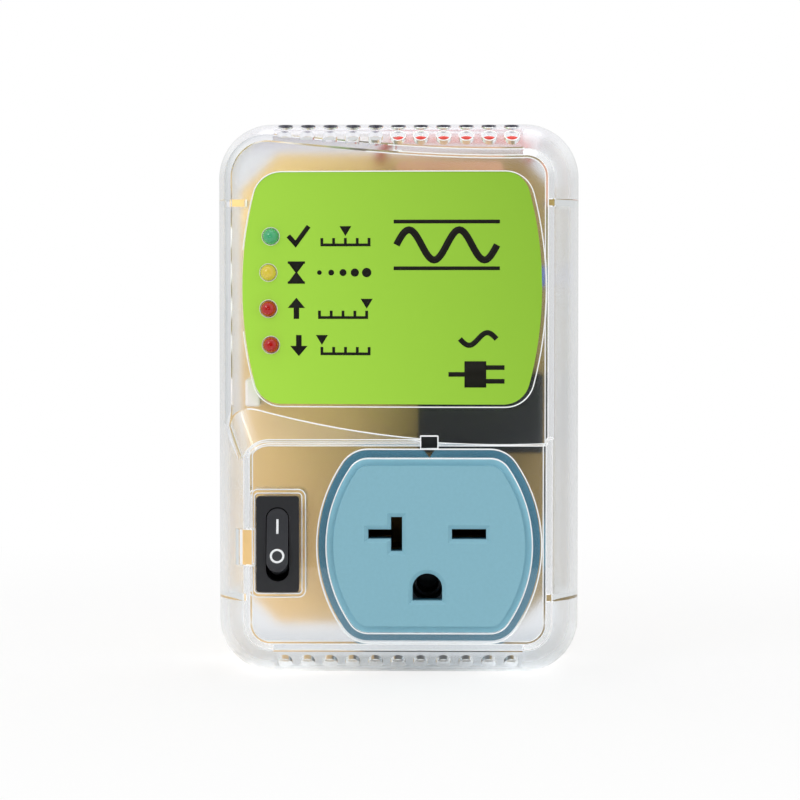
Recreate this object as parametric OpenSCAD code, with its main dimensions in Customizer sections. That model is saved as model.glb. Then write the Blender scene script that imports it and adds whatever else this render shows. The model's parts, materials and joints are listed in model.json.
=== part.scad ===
// Plug-in appliance voltage protector in a clear snap-together case.
// Every piece is laid out on its back: x to the right, y up the wall and z out of the wall,
// and the module upright() then stands it up, so that the wall face is y = 0 and the front looks along -y.

/* [Case] */
// Width of the case
case_w = 80; // [78:0.5:88]
// Height of the case
case_h = 122; // [118:0.5:130]
// Depth of the case, from the wall face to the front deck
case_d = 48; // [46:0.5:52]
// Corner radius of the case outline
corner_r = 12; // [10:0.5:14]
// Wall thickness of both covers
wall = 2; // [1.6:0.1:2.2]
// Radius of the rounded shoulder of the front cover
shoulder_r = 16.7; // [15.5:0.1:18]
// Angle through which the shoulder turns before it meets the deck
shoulder_angle = 51; // [46:1:52]
// Radius of the edge around the wall face
rear_edge_r = 3; // [2:0.5:4]
// Height of the tongue that joins the covers
tongue_h = 3; // [2:0.5:4]
// Clearance between pieces that slide into each other
slip = 0.15; // [0.1:0.05:0.25]

/* [Front deck] */
// Width of the ledge between shoulder and deck
ledge_w = 1.3; // [1:0.1:1.6]
// Height of the deck above its ledge
ledge_h = 0.5; // [0.3:0.1:0.7]
// Radius of the upper deck, which falls away to the left
deck_r = 333; // [300:5:400]
// Distance of the upper deck's highest line from the right side of the case
deck_top_from_right = 17.5; // [14:0.5:22]
// Drop from the lower block to the highest line of the upper deck
deck_sink = 0.15; // [0.1:0.05:0.4]
// Height of the lower block, from the bottom of the case to its upper rim
block_h = 52.45; // [50:0.05:54]
// Corner radius of the lower block's upper rim
block_r = 6; // [5:0.5:8]
// Run of the lower block's flank for each millimetre that it falls
flank_run = 1.6; // [1.2:0.1:2]

/* [Vents] */
// Diameter of a vent hole
vent_d = 3.3; // [2.6:0.1:3.8]
// Distance between neighbouring vent holes
vent_pitch = 5; // [4.4:0.1:5.6]
// Number of vent holes in a row
vent_count = 11; // [7:2:13]
// Height of the rear row above the joint between the covers
vent_rear_h = 4.2; // [3.8:0.2:6.4]
// Height of the bottom row above the joint between the covers
vent_low_h = 9.1; // [7:0.1:10]

/* [Label] */
// Distance from each side of the case to the label
label_side = 7.05; // [6.8:0.05:9]
// Distance from the top of the case to the label
label_from_top = 10.8; // [10.4:0.1:14]
// Distance from the bottom of the case to the label
label_from_bottom = 60.2; // [60:0.1:64]
// How far the label is set to the left of the middle
label_left = 1.4; // [0.6:0.1:1.8]
// Radius of the label's bulging sides
label_side_r = 82; // [70:1:110]
// Corner radius of the label
label_corner_r = 5.8; // [4:0.2:8]
// Thickness of the label
label_t = 0.4; // [0.2:0.05:0.5]
// Margin of the recess to the left and above
recess_margin = 0.6; // [0.4:0.1:0.8]

/* [Outlet] */
// Distance from the right side of the case to the outlet's middle
outlet_from_right = 33.1; // [32.6:0.1:33.5]
// Distance from the bottom of the case to the outlet's middle
outlet_from_bottom = 29.2; // [28.2:0.1:30]
// Half the width of the outlet's raised face
face_half_w = 21; // [19:0.5:22]
// Half the height of the outlet's raised face
face_half_h = 17.6; // [16:0.2:18]
// Radius of the outlet's bulging sides
face_side_r = 28.7; // [26:0.5:32]
// Corner radius of the raised face
face_corner_r = 3.1; // [2:0.1:4]
// Width of the lower step around the raised face
step_w = 1.45; // [1.2:0.05:1.6]
// Width of the clear lip over the outlet's flange
lip_w = 2.05; // [1.6:0.05:2.4]
// Height of the clear lip above the deck
lip_h = 1.2; // [0.8:0.1:1.6]
// Height of the raised face above the deck
face_h = 1.4; // [1:0.1:2]
// Depth of the outlet's body behind the deck
outlet_body_d = 24; // [22:0.5:26]
// Distance from the outlet's middle up to the line slots
slot_rise = 2.65; // [2:0.05:3.2]
// Distance from the line slots down to the ground hole
ground_drop = 11.9; // [11.5:0.1:12.3]
// How far the ground hole is set to the left of the outlet's middle
ground_left = 0.4; // [0:0.1:0.8]
// Distance from the ground hole's line to the upright slot
tee_offset = 6.75; // [6.5:0.05:7]
// Distance from the ground hole's line to the flat slot
flat_offset = 9.12; // [8.8:0.02:9.4]
// Length of a line slot
slot_l = 7.5; // [7.2:0.1:7.8]
// Width of the flat slot
slot_w = 2.2; // [2:0.1:2.4]
// Width of the upright slot
tee_w = 2.45; // [2.2:0.05:2.6]
// Width of the ground hole
ground_hole_w = 6.5; // [6:0.1:7]
// Diameter of a ground pin
pin_d = 4.8; // [4.6:0.1:5]

/* [Switch] */
// Distance from the left side of the case to the switch's middle
switch_from_left = 13.7; // [13.4:0.1:14]
// Distance from the bottom of the case to the switch's middle
switch_from_bottom = 29.6; // [28:0.1:33]
// Width of the switch's bezel
bezel_w = 9.4; // [9:0.1:9.8]
// Height of the switch's bezel
bezel_h = 21.1; // [20:0.1:22]
// Thickness of the bezel
bezel_t = 1.4; // [1:0.1:1.8]
// Width of the rocker
rocker_w = 4.7; // [4.4:0.1:4.8]
// Length of the rocker
rocker_l = 14; // [13.6:0.1:14.4]
// Angle that the rocker leans to either side
rocker_tilt = 12; // [8:0.5:13]
// Depth of the switch's body behind the deck
switch_body_d = 14; // [13.5:0.5:16]

/* [Lamps] */
// Diameter of a lamp
led_d = 3.4; // [3:0.1:3.6]
// Distance from the left side of the case to the outer lamps
led_from_left = 12; // [11.8:0.1:13]
// How far the two middle lamps stand out to the left
led_bow = 0.6; // [0:0.1:1]
// How far a lamp stands out of the label
led_proud = 1.7; // [1:0.1:2.2]

/* [Board] */
// Thickness of the circuit board
board_t = 1.6; // [1.2:0.1:2]
// Height of the posts that carry the board
post_h = 10; // [9:0.5:12]
// Length cut from each corner of the board
board_chamfer = 8.5; // [7:0.5:10]
// Width of the relay
relay_w = 27.8; // [26:0.2:30]
// Height of the relay up the wall
relay_l = 17.7; // [16:0.1:18]
// Distance from the front deck back to the relay
relay_below_deck = 10; // [9:0.1:11]

/* [Plug] */
// Length of the line blades behind the wall face
blade_l = 17.9; // [16:0.1:19]
// Width of a line blade
blade_w = 6.35; // [6:0.05:6.6]
// Thickness of a line blade
blade_t = 1.5; // [1.4:0.05:1.7]
// Length of the ground pin behind the wall face
pin_l = 20.5; // [19:0.1:22]

/* [Hidden] */

$fn = 64;
// Number of sides of the largest arcs
fine = 720;
// Corner radius of a stadium, as a share of its width
round_share = 0.499;
// How far a cut runs past the face that it opens
overrun = 1;

// Places of the case
rim_z = case_d - ledge_h;
split_z = rim_z - shoulder_r * sin(shoulder_angle);
rim_in = shoulder_r * (1 - cos(shoulder_angle));
under_deck = case_d - wall;
left_x = -case_w / 2;
right_x = case_w / 2;
low_y = -case_h / 2;
high_y = case_h / 2;

// Curved upper deck and lower block
deck_top_x = right_x - deck_top_from_right;
block_rim_y = low_y + block_h;
// How far the block's left edge runs past the rim
block_out = 0.45;
// How far the corner leans out to the left for each millimetre that it falls
corner_run = 0.65;
block_corner_x = left_x + rim_in + block_r - block_out;
block_corner_y = block_rim_y - block_r;
block_parts = 16;
// How far the flank's inner face lies inside its outer one, at the underside of the deck
flank_in = 1.35;

// Vents
vent_front_h = vent_rear_h + vent_pitch;
vent_notch = 0.4;
vent_wall = 1;

// Label
label_x = -label_left;
label_half_w = case_w / 2 - label_side;
label_h = case_h - label_from_top - label_from_bottom;
label_half_h = label_h / 2;
label_y = high_y - label_from_top - label_half_h;
recess_half_w = label_half_w + recess_margin;
recess_half_h = label_half_h + recess_margin / 2;
recess_x = label_x + recess_margin / 2;
recess_y = label_y - recess_margin / 2;
recess_depth = label_t + slip;
corner_steps = 8;
side_steps = 8;

// Outlet
outlet_x = right_x - outlet_from_right;
outlet_y = low_y + outlet_from_bottom;
flange_w = lip_w - slip;
flange_t = 2.1;
opening_grow = step_w + slip;
lip_grow = step_w + slip + lip_w;
step_z = case_d - slip;
face_z = case_d + face_h;
flange_z = under_deck - slip;
outlet_back_z = under_deck - outlet_body_d;
body_shrink = 1.5;
slot_line_y = outlet_y + slot_rise;
ground_x = outlet_x - ground_left;
tee_x = ground_x - tee_offset;
flat_x = ground_x + flat_offset;
ground_y = slot_line_y - ground_drop;
tee_arm_l = 6.2;
tee_arm_w = 2.05;
bevel_w = 0.9;
bevel_h = 0.7;
ground_flat = 0.55;
contact_t = 0.6;
contact_gap = 0.2;
contact_front = 7;
contact_l = 11.5;
leg_w = 3;
sleeve_t = 0.7;
sleeve_l = 12;
sleeve_slit = 1;
sleeve_front = 8.5;
pocket_gap = 0.3;

// Latch window above the outlet
latch_w = 3.8;
latch_h = 2.8;
latch_y = outlet_y + face_half_h + lip_grow + latch_h / 2;
latch_tip_h = 2;
latch_tip_w = 3.8;

// Window beside the switch
side_cut_w = 3.6;
side_cut_h = 8;
side_cut_from_left = 5;
side_cut_x = left_x + side_cut_from_left;
side_cut_drop = 0.9;
side_cut_d = 6;

// Switch
switch_x = left_x + switch_from_left;
switch_y = low_y + switch_from_bottom;
bezel_r = 0.8;
bezel_z = case_d + bezel_t;
bezel_lip_w = 0.4;
bezel_lip_h = 0.7;
housing_w = bezel_w - 2 * bezel_lip_w;
housing_h = bezel_h - 2 * bezel_lip_h;
housing_t = 0.9;
housing_floor_z = under_deck + wall - switch_body_d;
rocker_gap = 0.2;
rocker_end_gap = 1.15;
rocker_face_h = 5;
rocker_foot_h = 1.5;
rocker_dish_r = 45;
rocker_dish = 0.35;
pivot_depth = 3.8;
pivot_z = bezel_z - pivot_depth;
axle_r = 1;
axle_l = 0.9;
axle_fit = 0.05;
guard_t = 0.8;
guard_gap = 0.5;
guard_out = guard_gap + guard_t;
guard_h = 8;
stem_r = 1.6;
stem_h = 3;
plunger_r = 1;
plunger_h = 3.2;
plunger_in = 1;
spring_wire = 0.2;
spring_turns = 3;
lever_l = 12;
lever_w = 3;
lever_t = 0.6;
lever_tilt = 6;
lever_rise = 3.4;
lever_z = housing_floor_z + lever_rise;
fulcrum_w = 1;
terminal_w = 3;
terminal_t = 0.8;
terminal_h = 6;
terminal_pitch = 8;
switch_hole_gap = 0.15;
wing_t = 0.5;
wing_h = 3;
wing_l = 4;

// Board
board_gap_left = 1.5;
board_gap_right = 2.5;
board_gap_top = 3.6;
board_gap_bottom = 6.4;
board_x0 = left_x + wall + board_gap_left;
board_x1 = right_x - wall - board_gap_right;
board_y0 = low_y + wall + board_gap_bottom;
board_y1 = high_y - wall - board_gap_top;
board_w = board_x1 - board_x0;
board_h = board_y1 - board_y0;
board_mid = [(board_x0 + board_x1) / 2, (board_y0 + board_y1) / 2];
board_z = wall + post_h;
board_top = board_z + board_t;
lead_r = 0.3;
strap_hole_r = 3.4;
post_r = 3;
post_in_x = 4.2;
post_in_y = 11.5;
post_out_x = board_w / 2 - post_in_x;
post_out_y = board_h / 2 - post_in_y;
rib_t = 1.6;
rib_w = 4.6;
rib_gap = 0.3;
rib_from_end = 17.6;
rib_y = case_h / 2 - rib_from_end;

// Lamps
led_len = 5.3;
led_flange_t = 0.8;
led_flange_out = 0.4;
led_flange_r = led_d / 2 + led_flange_out;
led_hole_gap = 0.2;
led_leg_gap = 1.27;
spacer_r = 2.3;
led_x0 = left_x + led_from_left;
led_first_share = 0.278;
led_pitch_share = 0.156;
led_y0 = label_y + label_half_h - led_first_share * label_h;
led_pitch = led_pitch_share * label_h;

// Relay
relay_wall = 1;
relay_base_h = 2.4;
relay_from_right = 3.4;
relay_gap = 2.25;
relay_x = board_x1 - relay_from_right - relay_w / 2;
relay_y = outlet_y + face_half_h + relay_gap + relay_l / 2;
relay_d = case_d - relay_below_deck - board_top;
relay_floor_z = board_top + relay_base_h;
relay_top_y = relay_y + relay_l / 2;
relay_edge_r = 0.8;
coil_r = 5.2;
coil_core_r = 2.4;
coil_top_gap = 8.5;
coil_flange_t = 1;
coil_flange_w = 12;
coil_left = 4;
coil_x = relay_x - coil_left;
yoke_t = 1.5;
coil_l = relay_d - relay_base_h - yoke_t - coil_top_gap;
yoke_w = 10;
armature_t = 1.2;
armature_gap = 0.8;
armature_tilt = 3;
contact_r = 1.4;
contact_h = 0.6;

// Parts of the supply and the control circuit, placed as shares of the board
film_w = 24;
film_l = 10;
film_below_deck = 16.9;
film_overhang = -2.4;
film_r = 1.5;
film_share = 0.665;
lift = 1;
film_h = case_d - film_below_deck - board_top - lift;
storage_r = 5;
storage_h = 17;
storage_shares = [0.5, 0.8];
filter_r = 3.15;
filter_h = 11;
filter_gap = 1.25;
filter_share = 0.3;
varistor_r = 7;
varistor_t = 4.5;
varistor_shares = [0.87, 0.74];
varistor_lift = 3;
diode_r = 1.35;
diode_l = 5.2;
diode_band = 0.9;
diode_share = 0.62;
diode_gap = 6.2;
diode_pitch = 5;
resistor_r = 1.15;
resistor_l = 6.3;
resistor_shares = [0.26, 0.55];
resistor_pitch = 4.9;
resistor_rows = 3;
lead_span = 10;
resistor_gap = 1.5;
power_r = 2.4;
power_l = 12;
power_gap = 4.05;
power_side_gap = 0.4;
chip_w = 6.4;
chip_l = 19.3;
chip_h = 3.4;
chip_lift = 0.5;
chip_shares = [0.34, 0.76];
chip_pitch = 2.54;
chip_legs = 7;
chip_leg_w = 0.5;
chip_notch_r = 1;
transistor_r = 2.3;
transistor_h = 4.6;
transistor_lift = 3;
transistor_flat = 0.9;
transistor_share = 0.56;
transistor_gap = 2.55;
solder_r = 0.9;
solder_h = 1.2;

// Plug
plug_half_w = 14.5;
plug_back_y = 6.4;
plug_front_y = 5.4;
plug_step = 3;
plug_flange_t = 3;
plug_fit = 0.1;
plug_r = 3;
blade_shoulder = 1.2;
blade_tab = 3;
blade_hole_d = 3.2;
blade_hole_from_tip = 5;
blade_tip = 1;
pin_shank_r = 2.7;
pin_head_r = 3.4;
pin_head_t = 1.4;
retainer_t = 1.5;
retainer_gap = 0.25;
retainer_high = slot_line_y - blade_w / 2 - blade_shoulder - retainer_gap;
retainer_low = ground_y + pin_head_r + retainer_gap;
retainer_y = (retainer_high + retainer_low) / 2;
screw_r = 1.25;
screw_head_r = 2.6;
screw_head_h = 1.6;
screw_l = 5;
screw_cross_w = 0.6;
screw_cross_l = 3;
screw_post_r = 3;
screw_post_h = plug_flange_t;
screw_out = 4.8;

// Tongue, catches and wires
catch_l = 6;
catch_h = 1.2;
catch_proud = 0.5;
catch_ys = [-20, 20];
wire_run = 5;
wire_rise = 1.7;
thin_wire_r = 0.8;
ball_share = 1.05;
dab_w = 3.3;
dab_h = 6.1;
dab_from_left = 7.9;
dab_x = left_x + dab_from_left;
dab_above_block = 10.05;
dab_y = block_rim_y + dab_above_block;

// Turns a piece that lies on its back upright, with its wall face at y = 0
module upright() {
    rotate([90, 0, 0]) children();
}

// Height of the curved upper deck below its highest line
function deck_fall(x) = deck_r - sqrt(deck_r * deck_r - (x - deck_top_x) * (x - deck_top_x));

// Face of the upper deck at one distance from the middle
function deck_at(x) = case_d - deck_sink - deck_fall(x);

// Point of the board at given shares of its width and height
function on_board(shares) = [board_x0 + shares[0] * board_w, board_y0 + shares[1] * board_h];

// Place of a lamp, counted from the top
function led_place(i) = [
    led_x0 - led_bow * (1 - pow((i - 1.5) / 1.5, 2)),
    led_y0 - i * led_pitch
];

// Rectangle with round corners, about its middle
module pad(w, h, r) {
    square([w - 2 * r, h], center = true);
    square([w, h - 2 * r], center = true);
    for (sx = [-1, 1], sy = [-1, 1])
        translate([sx * (w / 2 - r), sy * (h / 2 - r)])
            circle(r = r);
}

// Outline with a flat top and bottom, bulging sides and round corners, grown all round by grow
module barrel(half_w, half_h, side_r, round_r, grow = 0) {
    cy = half_h - round_r;
    mid = half_w - side_r;
    cx = mid + sqrt(pow(side_r - round_r, 2) - cy * cy);
    reach = cy * (side_r + grow) / (side_r - round_r);
    square([2 * cx, 2 * (half_h + grow)], center = true);
    for (sx = [-1, 1], sy = [-1, 1])
        translate([sx * cx, sy * cy])
            circle(r = round_r + grow);
    intersection() {
        square([2 * (half_w + grow + overrun), 2 * reach], center = true);
        translate([mid, 0])
            circle(r = side_r + grow, $fn = fine);
        translate([-mid, 0])
            circle(r = side_r + grow, $fn = fine);
    }
}

// Quarter of the label's outline: the corner first and then half of the bulging side
function label_quarter(half_w, half_h, side_r, round_r) =
    let (
        mid = half_w - side_r,
        cy = half_h - round_r,
        cx = mid + sqrt(pow(side_r - round_r, 2) - cy * cy),
        turn = asin(cy / (side_r - round_r))
    )
    concat(
        [for (i = [0:corner_steps]) let (a = 90 - (90 - turn) * i / corner_steps)
            [cx + round_r * cos(a), cy + round_r * sin(a)]],
        [for (i = [1:side_steps]) let (a = turn * (1 - i / side_steps))
            [mid + side_r * cos(a), side_r * sin(a)]]
    );

// Whole outline of the label, from four mirrored quarters
module label_outline(half_w, half_h, side_r, round_r) {
    q = label_quarter(half_w, half_h, side_r, round_r);
    n = len(q) - 1;
    polygon(concat(
        q,
        [for (i = [1:n]) [q[n - i][0], -q[n - i][1]]],
        [for (p = q) [-p[0], -p[1]]],
        [for (i = [1:n]) [-q[n - i][0], q[n - i][1]]]
    ));
}

// Barrel of the outlet's face, grown by grow
module outlet_barrel(grow) {
    translate([outlet_x, outlet_y])
        barrel(face_half_w, face_half_h, face_side_r, face_corner_r, grow);
}

// Section of one side of the front cover: upright below the joint and an arc above it
module shoulder_section(half, arc, z0, z1) {
    if (z0 < split_z)
        translate([0, z0])
            square([half, split_z - z0]);
    intersection() {
        translate([half - arc, split_z])
            circle(r = arc, $fn = fine);
        translate([0, split_z])
            square([half, z1 - split_z]);
    }
}

// Round-cornered box with arched shoulders, as high as z1
module shoulder_box(inset, arc, z0, z1) {
    w = case_w - 2 * inset;
    h = case_h - 2 * inset;
    r = corner_r - inset;
    for (quarter = [0:3]) {
        sx = quarter == 0 || quarter == 3 ? 1 : -1;
        sy = quarter < 2 ? 1 : -1;
        translate([sx * (w / 2 - r), sy * (h / 2 - r), 0])
            rotate([0, 0, 90 * quarter])
                rotate_extrude(angle = 90)
                    shoulder_section(r, arc, z0, z1);
    }
    for (side = [-1, 1])
        translate([0, side * (h / 2 - r), 0])
            rotate([90, 0, 90 * side])
                linear_extrude(w - 2 * r, center = true)
                    shoulder_section(r, arc, z0, z1);
    for (side = [0, 180])
        rotate([90, 0, side])
            linear_extrude(h - 2 * r, center = true)
                translate([w / 2 - r, 0])
                    shoulder_section(r, arc, z0, z1);
    translate([-w / 2 + r, -h / 2 + r, z0])
        cube([w - 2 * r, h - 2 * r, z1 - z0]);
}

// Everything under the curved upper deck whose highest line is at top
module under_upper_deck(top, z0, radius) {
    rotate([90, 0, 0])
        linear_extrude(case_h + overrun, center = true)
            intersection() {
                translate([deck_top_x, top - radius])
                    circle(r = radius, $fn = 2 * fine);
                translate([-case_w, z0])
                    square([2 * case_w, case_d]);
            }
}

// Edge of the lower block, clockwise from its rounded corner at the left, moved by a distance along the slope
function block_edge(inward, fall) = [
    for (point = concat(
        [for (k = [0:block_parts]) block_corner_point(180 - 90 * k / block_parts, block_r - inward)],
        [
            [block_corner_x + case_w, block_rim_y - inward],
            [block_corner_x + case_w, low_y - case_h],
            [block_corner_x - case_w, low_y - case_h],
            [block_corner_x - case_w, block_corner_y]
        ]
    )) point + fall * [-corner_run, flank_run]
];

// Point of the block's corner at one angle
function block_corner_point(angle, radius) =
    [block_corner_x + radius * cos(angle), block_corner_y + radius * sin(angle)];

// Everything under the lower block, whose upper flank slopes down onto the upper deck
module under_lower_block(top, z0, inward) {
    high = [for (point = block_edge(inward, 0)) [point[0], point[1], top]];
    low = [for (point = block_edge(inward, top - z0)) [point[0], point[1], z0]];
    count = len(high);
    polyhedron(
        points = concat(high, low),
        faces = concat(
            [[for (i = [0:count - 1]) i]],
            [[for (i = [0:count - 1]) count + (count - i) % count]],
            [for (i = [0:count - 1]) [(i + 1) % count, i, count + i, count + (i + 1) % count]]
        )
    );
}

// Form of the front cover at one level: ledge, deck or inner face
module cover_form(inset, arc, top, deck_top, radius, inward, z0) {
    intersection() {
        shoulder_box(inset, arc, z0, top);
        union() {
            under_upper_deck(deck_top, z0, radius);
            under_lower_block(top, z0, inward);
        }
    }
}

// Ring around the case outline, used for the tongue and its groove
module case_ring(outer_in, inner_in, z0, h) {
    translate([0, 0, z0])
        linear_extrude(h)
            difference() {
                pad(case_w - 2 * outer_in, case_h - 2 * outer_in, corner_r - outer_in);
                pad(case_w - 2 * inner_in, case_h - 2 * inner_in, corner_r - inner_in);
            }
}

// Catches that hold the covers together, on both long sides
module catches(grow) {
    depth_in = wall / 2 + slip - catch_proud - grow;
    t = catch_proud + grow + overrun / 2;
    for (side = [-1, 1], y = catch_ys)
        translate([side * (case_w / 2 - depth_in - t / 2), y, split_z - tongue_h / 2])
            cube([t, catch_l + 2 * grow, catch_h + 2 * grow], center = true);
}

// Distance from the case outline to the shoulder's surface, at one height above the joint
function shoulder_inset(h) = shoulder_r - sqrt(shoulder_r * shoulder_r - h * h);

// How far a hole of the front row reaches in: right through, or where the deck is low, only to the rim
function vent_reach(x) = x < 0
    ? shoulder_inset(deck_at(x) - ledge_h - split_z) + vent_notch
    : rim_in;

// Hollows that thin the shoulders from inside where the vents pass
module vent_hollows() {
    intersection() {
        cover_form(vent_wall, shoulder_r - vent_wall, under_deck, under_deck - deck_sink, deck_r, flank_in,
            split_z + wall);
        for (side = [-1, 1])
            translate([0, side * high_y, split_z])
                cube([vent_count * vent_pitch, 2 * (rim_in + wall), case_d], center = true);
    }
}

// Rows of round vent holes through the top and the bottom of the front cover
module vent_holes() {
    for (i = [0:vent_count - 1]) {
        x = (i - (vent_count - 1) / 2) * vent_pitch;
        translate([x, high_y + overrun, split_z + vent_rear_h])
            rotate([90, 0, 0])
                cylinder(h = overrun + rim_in, d = vent_d, $fn = 32);
        translate([x, high_y + overrun, split_z + vent_front_h])
            rotate([90, 0, 0])
                cylinder(h = overrun + vent_reach(x), d = vent_d, $fn = 32);
        translate([x, low_y - overrun, split_z + vent_low_h])
            rotate([-90, 0, 0])
                cylinder(h = overrun + rim_in, d = vent_d, $fn = 32);
    }
}

// Ribs of the front cover that hold the board down on its posts
module hold_down_ribs() {
    edge = case_w / 2 - wall;
    for (side = [-1, 1], y = [-rib_y, rib_y])
        translate([side * (rib_inner(side) + edge - rib_gap) / 2, y, (board_top + split_z + wall) / 2])
            cube([edge - rib_gap - rib_inner(side), rib_t, split_z + wall - board_top], center = true);
    intersection() {
        for (side = [-1, 1], y = [-rib_y, rib_y])
            translate([side * (rib_inner(side) + case_w / 2) / 2, y, (split_z + case_d) / 2])
                cube([case_w / 2 - rib_inner(side), rib_t, case_d - split_z], center = true);
        cover_form(wall / 2, shoulder_r - wall / 2, under_deck + wall / 4,
            case_d - deck_sink - wall / 2, deck_r, flank_in, split_z);
    }
}

// How far from the middle the ribs of one side begin
function rib_inner(side) =
    case_w / 2 - wall - rib_w - (side < 0 ? 0 : board_gap_right - board_gap_left);

// Clear front shell with its curved upper deck and its raised lower block
module front_cover() {
    color("lightcyan", 0.35) upright() difference() {
        union() {
            difference() {
                union() {
                    cover_form(0, shoulder_r, rim_z, rim_z - deck_sink, deck_r, 0, split_z);
                    cover_form(ledge_w, shoulder_r, case_d, case_d - deck_sink, deck_r, ledge_w, split_z);
                    case_ring(wall / 2 + slip, wall, split_z - tongue_h, tongue_h + overrun);
                }
                cover_form(wall, shoulder_r - wall, under_deck, under_deck - deck_sink, deck_r, flank_in,
                    split_z - tongue_h - overrun);
            }
            catches(0);
            hold_down_ribs();
            translate([0, 0, under_deck])
                linear_extrude(wall + lip_h)
                    outlet_barrel(lip_grow);
            translate([switch_x, switch_y, under_deck - guard_h])
                linear_extrude(guard_h + wall / 2)
                    pad(bezel_w + 2 * guard_out, bezel_h + 2 * guard_out, bezel_r + guard_t);
        }
        translate([0, 0, under_deck - overrun])
            linear_extrude(wall + lip_h + 2 * overrun)
                outlet_barrel(opening_grow);
        translate([switch_x, switch_y, under_deck - guard_h - overrun])
            linear_extrude(guard_h + overrun)
                pad(bezel_w + 2 * guard_gap, bezel_h + 2 * guard_gap, bezel_r);
        translate([switch_x, switch_y, under_deck - overrun])
            linear_extrude(wall + 2 * overrun)
                pad(housing_w + 2 * switch_hole_gap, housing_h + 2 * switch_hole_gap, bezel_r);
        translate([outlet_x, latch_y, under_deck])
            cube([latch_w, latch_h, 4 * wall], center = true);
        translate([side_cut_x, switch_y - side_cut_drop - side_cut_h / 2, case_d - side_cut_d])
            cube([side_cut_w, side_cut_h, side_cut_d + overrun]);
        label_recess();
        for (i = [0:3])
            translate([led_place(i)[0], led_place(i)[1], under_deck - 4 * wall])
                cylinder(h = 6 * wall, d = led_d + 2 * led_hole_gap, $fn = 48);
        vent_hollows();
        vent_holes();
    }
}

// Pointed notch in the flange of the outlet, under the latch window
module latch_tip(z0, h) {
    base_y = latch_y - latch_h / 2 + overrun / 2;
    tip_y = latch_y - latch_h / 2 - latch_tip_h;
    translate([outlet_x, 0, z0])
        linear_extrude(h)
            polygon([[-latch_tip_w / 2, base_y], [latch_tip_w / 2, base_y], [0, tip_y]]);
}

// Shallow recess in the upper deck that takes the label
module label_recess() {
    difference() {
        translate([recess_x, recess_y, split_z])
            linear_extrude(case_d)
                label_outline(recess_half_w, recess_half_h, label_side_r, label_corner_r + recess_margin);
        under_upper_deck(case_d - deck_sink - recess_depth, split_z - overrun, deck_r);
    }
}

// Box with round corners and a round edge around its back
module tub_form(inset, z0, z1, edge) {
    w = case_w - 2 * inset;
    h = case_h - 2 * inset;
    r = corner_r - inset;
    for (quarter = [0:3]) {
        sx = quarter == 0 || quarter == 3 ? 1 : -1;
        sy = quarter < 2 ? 1 : -1;
        translate([sx * (w / 2 - r), sy * (h / 2 - r), 0])
            rotate([0, 0, 90 * quarter])
                rotate_extrude(angle = 90)
                    tub_section(r, z0, z1, edge);
    }
    for (side = [-1, 1])
        translate([0, side * (h / 2 - r), 0])
            rotate([90, 0, 90 * side])
                linear_extrude(w - 2 * r, center = true)
                    tub_section(r, z0, z1, edge);
    for (side = [0, 180])
        rotate([90, 0, side])
            linear_extrude(h - 2 * r, center = true)
                translate([w / 2 - r, 0])
                    tub_section(r, z0, z1, edge);
    translate([-w / 2 + r, -h / 2 + r, z0])
        cube([w - 2 * r, h - 2 * r, z1 - z0]);
}

// Section of one side of the rear cover, with its round back edge
module tub_section(half, z0, z1, edge) {
    translate([0, z0 + edge])
        square([half, z1 - z0 - edge]);
    translate([0, z0])
        square([half - edge, edge]);
    intersection() {
        translate([half - edge, z0 + edge])
            circle(r = edge, $fn = 96);
        translate([half - edge, z0])
            square([edge, edge]);
    }
}

// Outline of the hole in the wall face that takes the plug
module plug_outline(grow) {
    top_y = slot_line_y + plug_front_y + grow;
    low = ground_y - plug_back_y - grow;
    translate([ground_x, (top_y + low) / 2])
        pad(2 * (plug_half_w + grow), top_y - low, plug_r + grow);
}

// Places of the two screws that hold the plug's retainer
function screw_place(side) = [
    ground_x + side * (plug_half_w + plug_step + screw_out),
    retainer_y
];

// Clear rear shell, with the posts for the board and the opening for the plug
module rear_cover() {
    color("lightcyan", 0.35) upright() difference() {
        union() {
            difference() {
                tub_form(0, 0, split_z, rear_edge_r);
                tub_form(wall, wall, split_z + overrun, rear_edge_r - wall / 2);
                case_ring(wall / 2, wall + overrun, split_z - tongue_h - slip, tongue_h + slip + overrun);
            }
            for (sx = [-1, 1], sy = [-1, 1])
                translate([board_mid[0] + sx * post_out_x, board_mid[1] + sy * post_out_y, wall / 2])
                    cylinder(h = board_z - wall / 2, r = post_r);
            for (side = [-1, 1])
                translate([screw_place(side)[0], screw_place(side)[1], wall / 2])
                    cylinder(h = wall / 2 + screw_post_h, r = screw_post_r);
        }
        translate([0, 0, -overrun])
            linear_extrude(wall + 2 * overrun)
                plug_outline(plug_fit);
        for (side = [-1, 1])
            translate([screw_place(side)[0], screw_place(side)[1], wall / 2])
                cylinder(h = wall + screw_post_h, r = screw_r);
        catches(slip);
    }
}

// Printed label in the recess of the upper deck
module label_panel() {
    color("yellowgreen") upright() difference() {
        intersection() {
            translate([label_x, label_y, split_z])
                linear_extrude(case_d)
                    label_outline(label_half_w, label_half_h, label_side_r, label_corner_r);
            under_upper_deck(case_d - deck_sink - recess_depth + label_t, split_z - overrun, deck_r);
        }
        under_upper_deck(case_d - deck_sink - recess_depth, split_z - 2 * overrun, deck_r);
        for (i = [0:3])
            translate([led_place(i)[0], led_place(i)[1], split_z])
                cylinder(h = case_d, d = led_d + 2 * led_hole_gap, $fn = 48);
    }
}

// Outline of the T-shaped line slot, grown by grow
module tee_outline(grow) {
    translate([tee_x, slot_line_y]) {
        square([tee_w + 2 * grow, slot_l + 2 * grow], center = true);
        translate([-tee_arm_l - grow, -tee_arm_w / 2 - grow])
            square([tee_arm_l + grow, tee_arm_w + 2 * grow]);
    }
}

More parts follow.
